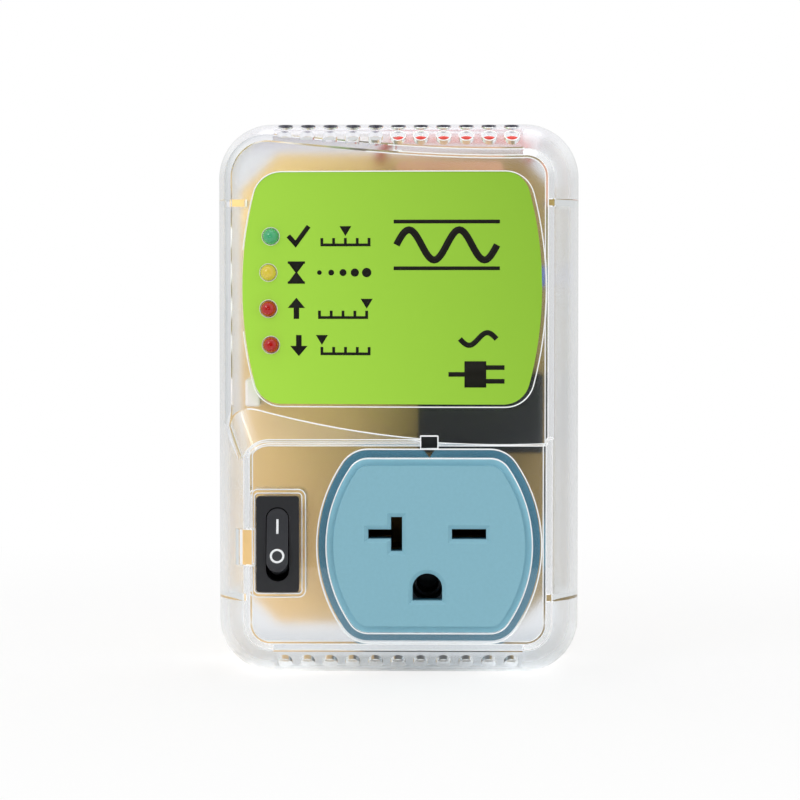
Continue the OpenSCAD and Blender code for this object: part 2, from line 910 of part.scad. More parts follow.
// Outline of the flat line slot, grown by grow
module flat_outline(grow) {
    translate([flat_x, slot_line_y])
        square([slot_l + 2 * grow, slot_w + 2 * grow], center = true);
}

// Outline of the ground hole: round above and flat below
module ground_outline(grow) {
    translate([ground_x, ground_y])
        intersection() {
            union() {
                circle(d = ground_hole_w + 2 * grow);
                translate([0, -ground_hole_w / 2])
                    square([ground_hole_w + 2 * grow, ground_hole_w], center = true);
            }
            translate([0, ground_flat])
                square([ground_hole_w + 2 * grow + overrun, ground_hole_w + 2 * grow], center = true);
        }
}

// Sloping frame around one hole of the outlet
module bevel_frame() {
    hull() {
        translate([0, 0, face_z - bevel_h])
            linear_extrude(slip)
                children(0);
        translate([0, 0, face_z])
            linear_extrude(slip)
                children(1);
    }
}

// Blue face of the outlet, with its flange, its step and its bevelled holes
module receptacle_face() {
    color("cadetblue") upright() difference() {
        union() {
            translate([0, 0, flange_z - flange_t])
                linear_extrude(flange_t)
                    outlet_barrel(step_w + flange_w);
            translate([0, 0, flange_z - flange_t])
                linear_extrude(step_z - flange_z + flange_t)
                    outlet_barrel(step_w);
            translate([0, 0, flange_z - flange_t])
                linear_extrude(face_z - flange_z + flange_t)
                    outlet_barrel(0);
        }
        translate([0, 0, flange_z - flange_t - overrun])
            linear_extrude(case_d) {
                tee_outline(0);
                flat_outline(0);
                ground_outline(0);
            }
        bevel_frame() {
            translate([tee_x, slot_line_y])
                square([tee_w, slot_l], center = true);
            translate([tee_x, slot_line_y])
                square([tee_w + 2 * bevel_w, slot_l + 2 * bevel_w], center = true);
        }
        bevel_frame() {
            translate([tee_x - tee_arm_l, slot_line_y - tee_arm_w / 2])
                square([tee_arm_l, tee_arm_w]);
            translate([tee_x - tee_arm_l - bevel_w, slot_line_y - tee_arm_w / 2 - bevel_w])
                square([tee_arm_l + bevel_w, tee_arm_w + 2 * bevel_w]);
        }
        bevel_frame() {
            flat_outline(0);
            flat_outline(bevel_w);
        }
        bevel_frame() {
            ground_outline(0, $fn = 32);
            ground_outline(bevel_w, $fn = 32);
        }
        latch_tip(flange_z - flange_t - overrun, flange_t + 2 * overrun);
    }
}

// Rear body of the outlet, with pockets that hold the contacts
module receptacle_base() {
    top_z = flange_z - flange_t;
    leg_hole_h = top_z - contact_front - contact_l - outlet_back_z;
    leg_hole_t = contact_t + 2 * pocket_gap;
    sleeve_low_z = top_z - sleeve_front - sleeve_l - pocket_gap;
    color("#5f8fa0") upright() difference() {
        translate([0, 0, outlet_back_z])
            linear_extrude(top_z - outlet_back_z)
                outlet_barrel(-body_shrink);
        translate([0, 0, top_z - contact_front - contact_l - pocket_gap])
            linear_extrude(contact_front + contact_l + pocket_gap + overrun) {
                tee_outline(contact_gap + contact_t + pocket_gap);
                flat_outline(contact_gap + contact_t + pocket_gap);
            }
        translate([ground_x, ground_y, sleeve_low_z])
            cylinder(h = top_z + overrun - sleeve_low_z, r = pin_d / 2 + sleeve_t + pocket_gap);
        for (x = [tee_x, flat_x])
            translate([x, slot_line_y, outlet_back_z])
                cube([leg_w + 2 * pocket_gap, leg_hole_t, 2 * leg_hole_h], center = true);
        translate([ground_x, ground_y, outlet_back_z - overrun])
            cylinder(h = outlet_body_d, r = pin_d / 2);
    }
}

// Brass box that grips a blade in one slot: outer outline, inner outline, and a leg down to the board
module slot_contact(x) {
    front = flange_z - flange_t - contact_front;
    difference() {
        translate([0, 0, front - contact_l])
            linear_extrude(contact_l)
                children(0);
        translate([0, 0, front - contact_l + contact_t])
            linear_extrude(contact_l)
                children(1);
    }
    translate([x - leg_w / 2, slot_line_y - contact_t / 2, board_top])
        cube([leg_w, contact_t, front - contact_l + contact_t / 2 - board_top]);
}

// Contact behind the T-shaped slot
module tee_contact() {
    color("goldenrod") upright()
        slot_contact(tee_x) {
            tee_outline(contact_gap + contact_t);
            tee_outline(contact_gap);
        }
}

// Contact behind the flat slot
module flat_contact() {
    color("goldenrod") upright()
        slot_contact(flat_x) {
            flat_outline(contact_gap + contact_t);
            flat_outline(contact_gap);
        }
}

// Slit brass sleeve that grips the ground pin
module ground_contact() {
    front = flange_z - flange_t - sleeve_front;
    color("goldenrod") upright() difference() {
        translate([ground_x, ground_y, front - sleeve_l])
            cylinder(h = sleeve_l, r = pin_d / 2 + sleeve_t);
        translate([ground_x, ground_y, front - sleeve_l + contact_t])
            cylinder(h = sleeve_l, r = pin_d / 2);
        translate([ground_x - sleeve_slit / 2, ground_y, front - sleeve_l + contact_t])
            cube([sleeve_slit, pin_d, sleeve_l]);
    }
}

// Rod that joins the ground pin of the plug to the ground contact, through a hole in the board
module ground_strap() {
    back = wall + plug_flange_t + pin_head_t;
    front = flange_z - flange_t - sleeve_front - sleeve_l;
    color("darkgoldenrod") upright()
        translate([ground_x, ground_y, back])
            cylinder(h = front - back, r = pin_d / 2 - contact_t);
}

// Stadium outline, upright, about its middle
module stadium(w, h) {
    pad(w, h, round_share * w);
}

// Black body of the rocker switch, with its bezel and its snap wings
module switch_housing() {
    opening_w = rocker_w + 2 * rocker_gap;
    opening_h = rocker_l + 2 * rocker_end_gap;
    color("#33343a") upright() translate([switch_x, switch_y, 0]) difference() {
        union() {
            translate([0, 0, case_d])
                linear_extrude(bezel_t)
                    pad(bezel_w, bezel_h, bezel_r);
            translate([0, 0, housing_floor_z])
                linear_extrude(case_d - housing_floor_z)
                    pad(housing_w, housing_h, bezel_r);
            for (side = [-1, 1])
                translate([0, side * (housing_h + wing_t) / 2, under_deck - slip - wing_h / 2])
                    cube([wing_l, wing_t, wing_h], center = true);
        }
        translate([0, 0, pivot_z])
            linear_extrude(case_d)
                stadium(opening_w, opening_h);
        translate([0, 0, housing_floor_z + housing_t])
            linear_extrude(pivot_z + axle_r + axle_fit - housing_floor_z - housing_t)
                square([opening_w, housing_h - 2 * housing_t], center = true);
        translate([0, 0, pivot_z])
            rotate([0, 90, 0])
                cylinder(h = rocker_w + 2 * axle_l + 2 * rocker_gap, r = axle_r + axle_fit, center = true);
        for (y = [-terminal_pitch / 2, terminal_pitch / 2])
            translate([0, y, housing_floor_z])
                cube([terminal_w + 2 * slip, terminal_t + 2 * slip, 4 * housing_t], center = true);
    }
}

// Turns the moving parts of the switch from their middle position to the pressed one
module pressed(z, angle) {
    translate([switch_x, switch_y, z])
        rotate([angle, 0, 0])
            children();
}

// Rocker with its axle stubs and the stem that carries the plunger
module switch_rocker() {
    color("#2c2d33") upright() pressed(pivot_z, -rocker_tilt) difference() {
        union() {
            translate([0, 0, -rocker_foot_h])
                linear_extrude(rocker_foot_h + rocker_face_h)
                    stadium(rocker_w, rocker_l);
            rotate([0, 90, 0])
                cylinder(h = rocker_w + 2 * axle_l, r = axle_r, center = true);
            translate([0, 0, -rocker_foot_h - stem_h])
                cylinder(h = stem_h + overrun, r = stem_r);
        }
        translate([0, 0, rocker_face_h + rocker_dish_r - rocker_dish])
            rotate([0, 90, 0])
                cylinder(h = 2 * rocker_w, r = rocker_dish_r, center = true, $fn = fine);
        translate([0, 0, -rocker_foot_h - stem_h - overrun])
            cylinder(h = stem_h + overrun, r = plunger_r + axle_fit);
    }
}

// Sliding pin under the rocker, which tips the contact lever
module switch_plunger() {
    color("ivory") upright() pressed(pivot_z, -rocker_tilt) {
        translate([0, 0, -rocker_foot_h - stem_h + plunger_in - plunger_h]) {
            cylinder(h = plunger_h, r = plunger_r);
            sphere(r = plunger_r, $fn = 32);
        }
    }
}

// Spring between the plunger and the rocker
module switch_spring() {
    top = -rocker_foot_h;
    low = -rocker_foot_h - stem_h + plunger_in;
    pitch = (top - low - 2 * spring_wire) / spring_turns;
    color("silver") upright() pressed(pivot_z, -rocker_tilt)
        for (i = [0:spring_turns])
            translate([0, 0, low + spring_wire + i * pitch])
                rotate_extrude($fn = 32)
                    translate([plunger_r - spring_wire, 0])
                        circle(r = spring_wire, $fn = 16);
}

// See-saw lever that closes the circuit
module switch_lever() {
    color("#b87333") upright() pressed(lever_z, lever_tilt) {
        cube([lever_w, lever_l, lever_t], center = true);
        for (side = [-1, 1])
            translate([0, side * (lever_l / 2 - contact_r), -lever_t / 2 - contact_h])
                cylinder(h = contact_h + lever_t / 2, r = contact_r / 1.2);
    }
}

// Three terminals of the switch: the fulcrum under the lever and the two fixed contacts
module switch_terminals() {
    top = housing_floor_z + housing_t + contact_h;
    color("#c0a878") upright() translate([switch_x, switch_y, 0]) {
        for (y = [-terminal_pitch / 2, terminal_pitch / 2]) {
            translate([-terminal_w / 2, y - terminal_t / 2, housing_floor_z - terminal_h])
                cube([terminal_w, terminal_t, terminal_h + housing_t + contact_h]);
        }
        translate([-lever_w / 2, -fulcrum_w / 2, housing_floor_z + housing_t])
            cube([lever_w, fulcrum_w, lever_z - lever_t / 2 - slip - housing_floor_z - housing_t]);
        translate([-terminal_w / 2, -terminal_pitch / 2 - terminal_t / 2, top - contact_h / 2])
            cube([terminal_w, terminal_t + contact_r, contact_h / 2]);
    }
}

// Lamp with a round tip and a flange at its foot
module led(i) {
    place = led_place(i);
    tip = deck_at(place[0]) + led_proud;
    r = led_d / 2;
    translate([place[0], place[1], 0]) {
        translate([0, 0, tip - led_len])
            cylinder(h = led_len - r, r = r);
        translate([0, 0, tip - r])
            sphere(r = r);
        translate([0, 0, tip - led_len - led_flange_t])
            cylinder(h = led_flange_t, r = led_flange_r);
    }
}

module led_green() {
    color("mediumseagreen") upright() led(0);
}

module led_amber() {
    color("khaki") upright() led(1);
}

module led_red_high() {
    color("firebrick") upright() led(2);
}

module led_red_low() {
    color("firebrick") upright() led(3);
}

// Height of the foot of one lamp
function led_foot(i) = deck_at(led_place(i)[0]) + led_proud - led_len - led_flange_t;

// Wire legs of the lamps
module led_leads() {
    color("silver") upright()
        for (i = [0:3], side = [-1, 1])
            translate([led_place(i)[0] + side * led_leg_gap, led_place(i)[1], board_top])
                cylinder(h = led_foot(i) - board_top, r = lead_r, $fn = 24);
}

// Nylon sleeves that hold the lamps at their height
module led_spacers() {
    color("white") upright()
        for (i = [0:3])
            translate([led_place(i)[0], led_place(i)[1], board_top])
                difference() {
                    cylinder(h = led_foot(i) - board_top, r = spacer_r);
                    for (side = [-1, 1])
                        translate([side * led_leg_gap, 0, -overrun])
                            cylinder(h = case_d, r = lead_r + slip, $fn = 24);
                }
}

// Board with cut corners and the hole for the ground rod
module circuit_board() {
    c = board_chamfer;
    color("burlywood") upright() difference() {
        translate([0, 0, board_z])
            linear_extrude(board_t)
                polygon([
                    [board_x0 + c, board_y0], [board_x1 - c, board_y0], [board_x1, board_y0 + c],
                    [board_x1, board_y1 - c], [board_x1 - c, board_y1], [board_x0 + c, board_y1],
                    [board_x0, board_y1 - c], [board_x0, board_y0 + c]
                ]);
        translate([ground_x, ground_y, board_z - overrun])
            cylinder(h = board_t + 2 * overrun, r = strap_hole_r);
    }
}

// Dark case of the relay, open towards the board
module relay_case() {
    color("#2b2d31") upright() translate([relay_x, relay_y, 0]) difference() {
        translate([0, 0, relay_floor_z])
            linear_extrude(board_top + relay_d - relay_floor_z)
                pad(relay_w, relay_l, relay_edge_r);
        translate([0, 0, relay_floor_z - overrun])
            linear_extrude(board_top + relay_d - relay_floor_z - relay_wall + overrun)
                pad(relay_w - 2 * relay_wall, relay_l - 2 * relay_wall, relay_edge_r / 2);
    }
}

// Base plate of the relay, seated on the board
module relay_base() {
    color("#3a3c40") upright()
        translate([relay_x, relay_y, board_top])
            linear_extrude(relay_base_h)
                pad(relay_w, relay_l, relay_edge_r);
}

// Coil of the relay on its bobbin
module relay_coil() {
    foot = relay_floor_z + yoke_t;
    color("#b5562d") upright() translate([coil_x, relay_y, foot]) difference() {
        union() {
            for (z = [0, coil_l - coil_flange_t])
                translate([0, 0, z])
                    linear_extrude(coil_flange_t)
                        square([coil_flange_w, coil_flange_w], center = true);
            cylinder(h = coil_l, r = coil_r);
        }
        translate([0, 0, -overrun])
            cylinder(h = coil_l + 2 * overrun, r = coil_core_r + slip);
    }
}

// Iron core and angle that carry the coil and the armature
module relay_yoke() {
    foot = relay_floor_z;
    back = coil_x - coil_flange_w / 2 - slip - yoke_t;
    color("gray") upright() {
        translate([back, relay_y - yoke_w / 2, foot])
            cube([coil_flange_w + yoke_t, yoke_w, yoke_t]);
        translate([back, relay_y - yoke_w / 2, foot])
            cube([yoke_t, yoke_w, yoke_t + coil_l]);
        translate([coil_x, relay_y, foot + yoke_t])
            cylinder(h = coil_l, r = coil_core_r);
    }
}

// Hinge line of the armature, on the upper edge of the yoke
armature_x = coil_x - coil_flange_w / 2 - slip - yoke_t;
armature_z = relay_floor_z + yoke_t + coil_l + slip;

// Hinged armature with the moving contact at its end
module relay_armature() {
    reach = coil_flange_w + yoke_t + coil_r;
    color("slategray") upright()
        translate([armature_x, relay_y, armature_z])
            rotate([0, -armature_tilt, 0]) {
                translate([0, -yoke_w / 2, 0])
                    cube([reach, yoke_w, armature_t]);
                translate([reach - contact_r, 0, armature_t])
                    cylinder(h = contact_h, r = contact_r);
                translate([reach - contact_r, 0, -contact_h])
                    cylinder(h = contact_h, r = contact_r);
            }
}

// Fixed contact of the relay on its post
module relay_contacts() {
    reach = coil_flange_w + yoke_t + coil_r;
    x = armature_x + reach - contact_r;
    stop_z = armature_z - contact_h - armature_gap / 2;
    color("goldenrod") upright() {
        translate([x, relay_y, stop_z - contact_h])
            cylinder(h = contact_h / 1.5, r = contact_r);
        translate([x - contact_r, relay_y - contact_r, relay_floor_z])
            cube([2 * contact_r, 2 * contact_r, stop_z - contact_h - relay_floor_z]);
    }
}

// Round lead of a part, from the board up to its body
module lead(x, y, z) {
    translate([x, y, board_top])
        cylinder(h = z - board_top, r = lead_r, $fn = 24);
}

// Place of the film capacitor, which reaches over the upper edge of the board
function film_place() = [on_board([film_share, 0])[0], board_y1 + film_overhang - film_l / 2];

// Film capacitor at the upper edge of the board
module film_capacitor() {
    x = film_place()[0];
    y = film_place()[1];
    z = board_top + lift;
    color("firebrick") upright() {
        translate([x, y, z])
            linear_extrude(film_h)
                pad(film_w, film_l, film_r);
        for (side = [-1, 1])
            lead(x + side * film_w / 3, y - film_l / 4, z);
    }
}

// Electrolytic capacitor with a beaded foot
module can_capacitor(p, r, h) {
    z = board_top + lift / 2;
    translate([p[0], p[1], z])
        rotate_extrude()
            difference() {
                square([r, h]);
                translate([r + lift / 4, h / 8])
                    circle(r = lift / 2, $fn = 24);
            }
    for (side = [-1, 1])
        lead(p[0] + side * r / 2, p[1], z);
}

module storage_capacitor() {
    color("#22252b") upright() can_capacitor(on_board(storage_shares), storage_r, storage_h);
}

module filter_capacitor() {
    color("#22252b") upright() can_capacitor(filter_place(), filter_r, filter_h);
}

// Disc that clamps spikes, standing on two legs
module varistor() {
    p = on_board(varistor_shares);
    z = board_top + varistor_lift;
    color("royalblue") upright() {
        translate([p[0], p[1], z + varistor_r])
            rotate([90, 0, 0])
                cylinder(h = varistor_t, r = varistor_r, center = true);
        for (side = [-1, 1])
            lead(p[0] + side * varistor_r / 2, p[1], z + lift);
    }
}

// Part lying on the board between two bent leads, along y
module lying_part(x, y, r, l) {
    z = board_top + r + lift / 4;
    translate([x, y, z])
        rotate([90, 0, 0])
            cylinder(h = l, r = r, center = true);
    for (side = [-1, 1]) {
        translate([x, y + side * (l / 2 + (lead_span - l) / 4), z])
            rotate([90, 0, 0])
                cylinder(h = (lead_span - l) / 2, r = lead_r, center = true, $fn = 24);
        translate([x, y + side * lead_span / 2, z])
            sphere(r = lead_r, $fn = 24);
        lead(x, y + side * lead_span / 2, z);
    }
}

// Places of the parts above the relay: the transistor, the larger resistor right of it and the diodes
function transistor_place() = [
    on_board([transistor_share, 0])[0],
    relay_top_y + transistor_gap + transistor_r
];
function power_place() = [
    transistor_place()[0] + transistor_r + power_side_gap + power_l / 2,
    relay_top_y + power_gap + power_r
];
function diode_place(i) = [
    on_board([diode_share, 0])[0] + i * diode_pitch,
    power_place()[1] + power_r + diode_gap
];

// Place of the filter capacitor, above the chip, and of one small resistor
function filter_place() = [
    on_board([filter_share, 0])[0],
    on_board(chip_shares)[1] + chip_l / 2 + filter_gap + filter_r
];
function resistor_place(i, j) = [
    on_board(resistor_shares)[0] + i * (lead_span + resistor_gap),
    on_board(resistor_shares)[1] + j * resistor_pitch
];

// Four diodes of the rectifier
module bridge_diodes() {
    color("#26262b") upright()
        for (i = [0:3]) {
            p = diode_place(i);
            lying_part(p[0], p[1], diode_r, diode_l);
            translate([p[0], p[1] + diode_l / 2 - diode_band, board_top + diode_r + lift / 4])
                rotate([90, 0, 0])
                    cylinder(h = diode_band, r = diode_r + slip / 2, center = true);
        }
}

// Small resistors of the control circuit
module resistors() {
    color("wheat") upright()
        for (i = [0, 1], j = [0:resistor_rows - 1]) {
            p = resistor_place(i, j);
            lying_part_across(p[0], p[1], resistor_r, resistor_l);
        }
}

// Part lying on the board between two bent leads, along x
module lying_part_across(x, y, r, l) {
    translate([x, y, 0])
        rotate([0, 0, 90])
            lying_part(0, 0, r, l);
}

// Larger resistor of the supply, raised off the board
module power_resistor() {
    p = power_place();
    z = board_top + power_r + 2 * lift;
    color("lightsteelblue") upright() {
        translate([p[0], p[1], z])
            rotate([0, 90, 0])
                cylinder(h = power_l, r = power_r, center = true);
        for (side = [-1, 1])
            lead(p[0] + side * power_l / 3, p[1], z);
    }
}

// Control chip with two rows of legs
module controller_chip() {
    p = on_board(chip_shares);
    z = board_top + chip_lift;
    color("#303238") upright() translate([p[0], p[1], 0]) {
        difference() {
            translate([-chip_w / 2, -chip_l / 2, z])
                cube([chip_w, chip_l, chip_h]);
            translate([0, chip_l / 2, z + chip_h / 2])
                cylinder(h = chip_h, r = chip_notch_r);
        }
        for (i = [0:chip_legs - 1], side = [-1, 1])
            translate([side * (chip_w + chip_leg_w) / 2, (i - (chip_legs - 1) / 2) * chip_pitch, board_top])
                translate([-chip_leg_w / 2, -chip_leg_w / 2, 0])
                    cube([chip_leg_w, chip_leg_w, chip_lift + chip_h / 2]);
    }
}

// Transistor that drives the relay
module transistor() {
    p = transistor_place();
    z = board_top + transistor_lift;
    color("#26262b") upright() {
        translate([p[0], p[1], z])
            difference() {
                cylinder(h = transistor_h, r = transistor_r);
                translate([-transistor_r - overrun, -transistor_r - transistor_flat, -overrun])
                    cube([2 * (transistor_r + overrun), 2 * transistor_flat, transistor_h + 2 * overrun]);
            }
        for (x = [-1, 0, 1])
            lead(p[0] + x * led_leg_gap, p[1], z);
    }
}

// One joint of solder under the board
module solder(x, y) {
    translate([x, y, board_z - solder_h])
        cylinder(h = solder_h, r1 = solder_r / 2.4, r2 = solder_r, $fn = 24);
}

// Solder joints under the leads of every part
module solder_joints() {
    color("silver") upright() {
        for (i = [0:3], side = [-1, 1])
            solder(led_place(i)[0] + side * led_leg_gap, led_place(i)[1]);
        for (side = [-1, 1]) {
            solder(on_board(storage_shares)[0] + side * storage_r / 2, on_board(storage_shares)[1]);
            solder(filter_place()[0] + side * filter_r / 2, filter_place()[1]);
            solder(on_board(varistor_shares)[0] + side * varistor_r / 2, on_board(varistor_shares)[1]);
        }
        for (side = [-1, 1])
            solder(film_place()[0] + side * film_w / 3, film_place()[1] - film_l / 4);
        for (i = [0, 1], j = [0:resistor_rows - 1], side = [-1, 1])
            solder(resistor_place(i, j)[0] + side * lead_span / 2, resistor_place(i, j)[1]);
        for (i = [0:3], side = [-1, 1])
            solder(diode_place(i)[0], diode_place(i)[1] + side * lead_span / 2);
        for (i = [0:chip_legs - 1], side = [-1, 1])
            solder(on_board(chip_shares)[0] + side * (chip_w + chip_leg_w) / 2,
                on_board(chip_shares)[1] + (i - (chip_legs - 1) / 2) * chip_pitch);
        for (x = [-1, 1], y = [-1, 1])
            solder(relay_x + x * relay_w / 3, relay_y + y * relay_l / 3);
        for (x = [tee_x, flat_x])
            solder(x, slot_line_y);
        for (side = [-1, 1])
            solder(power_place()[0] + side * power_l / 3, power_place()[1]);
    }
}

// Insulating block that holds the blades and the pin in the wall face
module plug_base() {
    color("whitesmoke") upright() difference() {
        union() {
            linear_extrude(wall + plug_fit)
                plug_outline(0);
            translate([0, 0, wall])
                linear_extrude(plug_flange_t)
                    plug_outline(plug_step);
        }
        translate([tee_x, slot_line_y, 0])
            cube([blade_t + plug_fit, blade_w + plug_fit, 4 * case_d], center = true);
        translate([flat_x, slot_line_y, 0])
            cube([blade_w + plug_fit, blade_t + plug_fit, 4 * case_d], center = true);
        translate([ground_x, ground_y, -overrun])
            cylinder(h = case_d, r = pin_shank_r + plug_fit / 2);
    }
}

// Blade with a cut tip, a hole and a wider tab behind the plug base, along y
module blade() {
    flat = blade_w / 2;
    back = wall + plug_flange_t;
    rotate([0, -90, 0])
        linear_extrude(blade_t, center = true)
            difference() {
                polygon([
                    [back + blade_tab, -flat], [back + blade_tab, flat],
                    [-blade_l + blade_tip, flat], [-blade_l, flat - blade_tip],
                    [-blade_l, -flat + blade_tip], [-blade_l + blade_tip, -flat]
                ]);
                translate([-blade_l + blade_hole_from_tip, 0])
                    circle(d = blade_hole_d, $fn = 32);
            }
    translate([-blade_t / 2, -flat - blade_shoulder, back])
        cube([blade_t, blade_w + 2 * blade_shoulder, blade_shoulder]);
}

// Upright blade of the plug
module plug_blade_upright() {
    color("silver") upright() translate([tee_x, slot_line_y, 0]) blade();
}

// Level blade of the plug
module plug_blade_flat() {
    color("silver") upright() translate([flat_x, slot_line_y, 0]) rotate([0, 0, 90]) blade();
}

// Round ground pin with a domed tip, a shank in the plug base and a head behind it
module plug_ground_pin() {
    back = wall + plug_flange_t;
    color("silver") upright() translate([ground_x, ground_y, 0]) {
        translate([0, 0, -pin_l + pin_d / 2])
            cylinder(h = pin_l, d = pin_d);
        cylinder(h = back, r = pin_shank_r);
        translate([0, 0, -pin_l + pin_d / 2])
            sphere(d = pin_d);
        translate([0, 0, back])
            cylinder(h = pin_head_t, r = pin_head_r);
    }
}

// Bar that clamps the plug base against the wall face
module plug_retainer() {
    z = wall + plug_flange_t;
    length = 2 * (plug_half_w + plug_step + screw_out);
    color("dimgray") upright() difference() {
        translate([0, 0, z])
            linear_extrude(retainer_t) {
                translate([ground_x, retainer_y])
                    square([length, retainer_high - retainer_low], center = true);
                for (side = [-1, 1])
                    translate(screw_place(side))
                        circle(r = screw_post_r);
            }
        for (side = [-1, 1])
            translate([screw_place(side)[0], screw_place(side)[1], z - overrun])
                cylinder(h = retainer_t + 2 * overrun, r = screw_r + slip);
    }
}

// Two cross-head screws of the retainer
module plug_screws() {
    z = wall + plug_flange_t + retainer_t;
    color("silver") upright()
        for (side = [-1, 1])
            translate([screw_place(side)[0], screw_place(side)[1], z])
                difference() {
                    union() {
                        cylinder(h = screw_head_h, r1 = screw_head_r, r2 = screw_head_r / 1.4);
                        translate([0, 0, -screw_l])
                            cylinder(h = screw_l + screw_head_h / 2, r = screw_r - plug_fit / 2);
                    }
                    for (turn = [0, 90])
                        rotate([0, 0, turn])
                            translate([-screw_cross_l / 2, -screw_cross_w / 2, screw_head_h / 2])
                                cube([screw_cross_l, screw_cross_w, screw_head_h]);
                }
}

// Round wire along a list of points
module wire(points, r) {
    for (i = [0:len(points) - 2]) {
        run = points[i + 1] - points[i];
        length = norm(run);
        translate(points[i])
            rotate([0, acos(run[2] / length), atan2(run[1], run[0])])
                cylinder(h = length, r = r, $fn = 24);
        if (i > 0)
            translate(points[i])
                sphere(r = r * ball_share, $fn = 24);
    }
}

// Wire from a blade at the middle out to the right and up, and forward to the board
module blade_wire() {
    z = wall + plug_flange_t + blade_tab;
    wire([
        [0, 0, z],
        [0, 0, z + wire_rise],
        [wire_run, wire_run, z + wire_rise],
        [1.2 * wire_run, 2.6 * wire_run, z + wire_rise],
        [1.2 * wire_run, 2.6 * wire_run, board_z]
    ], thin_wire_r);
}

// Wire of the upright blade, bent to the left
module line_wire() {
    color("black") upright() translate([tee_x, slot_line_y, 0]) mirror([1, 0, 0]) blade_wire();
}

// Wire of the level blade, bent to the right
module return_wire() {
    color("white") upright() translate([flat_x, slot_line_y, 0]) blade_wire();
}

// Pair of wires from the switch down to the board
module switch_wires() {
    z = housing_floor_z - terminal_h;
    color("firebrick") upright()
        for (side = [-1, 1]) {
            y = switch_y + side * terminal_pitch / 2;
            wire([
                [switch_x, y, z],
                [switch_x, y, z - thin_wire_r],
                [switch_x + 4 * thin_wire_r, y + side * thin_wire_r, board_top + 2 * thin_wire_r],
                [switch_x + 4 * thin_wire_r, y + side * thin_wire_r, board_top]
            ], thin_wire_r);
        }
}

// Dab of hot glue behind the upper deck
module glue_dab() {
    top = deck_at(dab_x - dab_w) - wall - slip;
    color("white", 0.7) upright()
        translate([dab_x, dab_y, board_top])
            linear_extrude(top - board_top)
                pad(dab_w, dab_h, dab_w / 5);
}

front_cover();
rear_cover();
label_panel();
receptacle_face();
receptacle_base();
tee_contact();
flat_contact();
ground_contact();
ground_strap();
switch_housing();
switch_rocker();
switch_plunger();
switch_spring();
switch_lever();
switch_terminals();
led_green();
led_amber();
led_red_high();
led_red_low();
led_leads();
led_spacers();
circuit_board();
relay_case();
relay_base();
relay_coil();
relay_yoke();
relay_armature();
relay_contacts();
film_capacitor();
storage_capacitor();
filter_capacitor();
varistor();
bridge_diodes();
resistors();
power_resistor();
controller_chip();
transistor();
solder_joints();
plug_base();
plug_blade_upright();
plug_blade_flat();
plug_ground_pin();
plug_retainer();
plug_screws();
line_wire();
return_wire();
switch_wires();
glue_dab();
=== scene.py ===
import json
import math

import bmesh
import bpy
import numpy as np
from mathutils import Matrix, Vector


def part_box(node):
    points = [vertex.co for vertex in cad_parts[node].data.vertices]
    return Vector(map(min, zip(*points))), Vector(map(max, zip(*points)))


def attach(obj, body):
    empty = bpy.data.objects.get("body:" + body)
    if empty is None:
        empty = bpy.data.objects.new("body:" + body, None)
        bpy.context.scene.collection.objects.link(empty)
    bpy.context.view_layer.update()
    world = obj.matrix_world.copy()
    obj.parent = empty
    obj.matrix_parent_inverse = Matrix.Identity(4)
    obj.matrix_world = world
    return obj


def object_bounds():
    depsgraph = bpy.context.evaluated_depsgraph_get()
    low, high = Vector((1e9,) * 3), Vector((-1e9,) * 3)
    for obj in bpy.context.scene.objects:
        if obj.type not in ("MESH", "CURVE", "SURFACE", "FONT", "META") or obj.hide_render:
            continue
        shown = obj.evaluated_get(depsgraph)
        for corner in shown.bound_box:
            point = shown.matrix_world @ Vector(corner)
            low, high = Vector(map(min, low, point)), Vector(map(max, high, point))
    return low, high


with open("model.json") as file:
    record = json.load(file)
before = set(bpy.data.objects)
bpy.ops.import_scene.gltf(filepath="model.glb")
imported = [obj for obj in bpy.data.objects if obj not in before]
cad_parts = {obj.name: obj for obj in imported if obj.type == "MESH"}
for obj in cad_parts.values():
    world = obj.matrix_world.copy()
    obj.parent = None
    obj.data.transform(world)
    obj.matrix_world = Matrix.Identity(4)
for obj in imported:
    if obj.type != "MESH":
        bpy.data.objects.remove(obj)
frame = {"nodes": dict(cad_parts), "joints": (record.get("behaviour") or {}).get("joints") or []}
cad_low, cad_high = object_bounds()
bpy.context.scene.view_settings.view_transform = "Standard"
MM = 0.001

# Camera: the case is seen almost square on, from a little above and to the right.
# The picture shows 4.57 pixels to a millimetre in the plane of the front deck.
picture_px = 800
px_per_mm = 4.57
camera_distance = 0.650
camera_right = math.radians(1.0)
camera_up = math.radians(2.3)
face_above_deck, aim_right, aim_up = 1.4, 0.5, 0.2
deck_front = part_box("receptacle_face")[0].y + face_above_deck * MM
aim = Vector((aim_right * MM, deck_front, aim_up * MM))

camera = bpy.data.objects.new("camera", bpy.data.cameras.new("camera"))
bpy.context.collection.objects.link(camera)
bpy.context.scene.camera = camera
towards_camera = Vector((
    math.sin(camera_right) * math.cos(camera_up),
    -math.cos(camera_right) * math.cos(camera_up),
    math.sin(camera_up),
))
camera.location = aim + camera_distance * towards_camera
camera.rotation_euler = towards_camera.to_track_quat("Z", "Y").to_euler()
sensor_mm = 36
camera.data.sensor_width = sensor_mm
camera.data.lens = sensor_mm * camera_distance / (picture_px / px_per_mm * MM)
camera.data.clip_start = 0.01
camera.data.clip_end = 20


# Studio: a pale floor under the case and a white room with softboxes.
# Clear plastic needs something darker to mirror, so the room dims low down and behind the camera,
# where the floor ends too.
def linear(code):
    """sRGB hex colour as linear RGBA: each channel is put through the sRGB curve."""
    parts = np.array([int(code[i:i + 2], 16) for i in (1, 3, 5)]) / 255
    curved = np.where(parts <= 0.04045, parts / 12.92, ((parts + 0.055) / 1.055) ** 2.4)
    return (*curved.tolist(), 1.0)


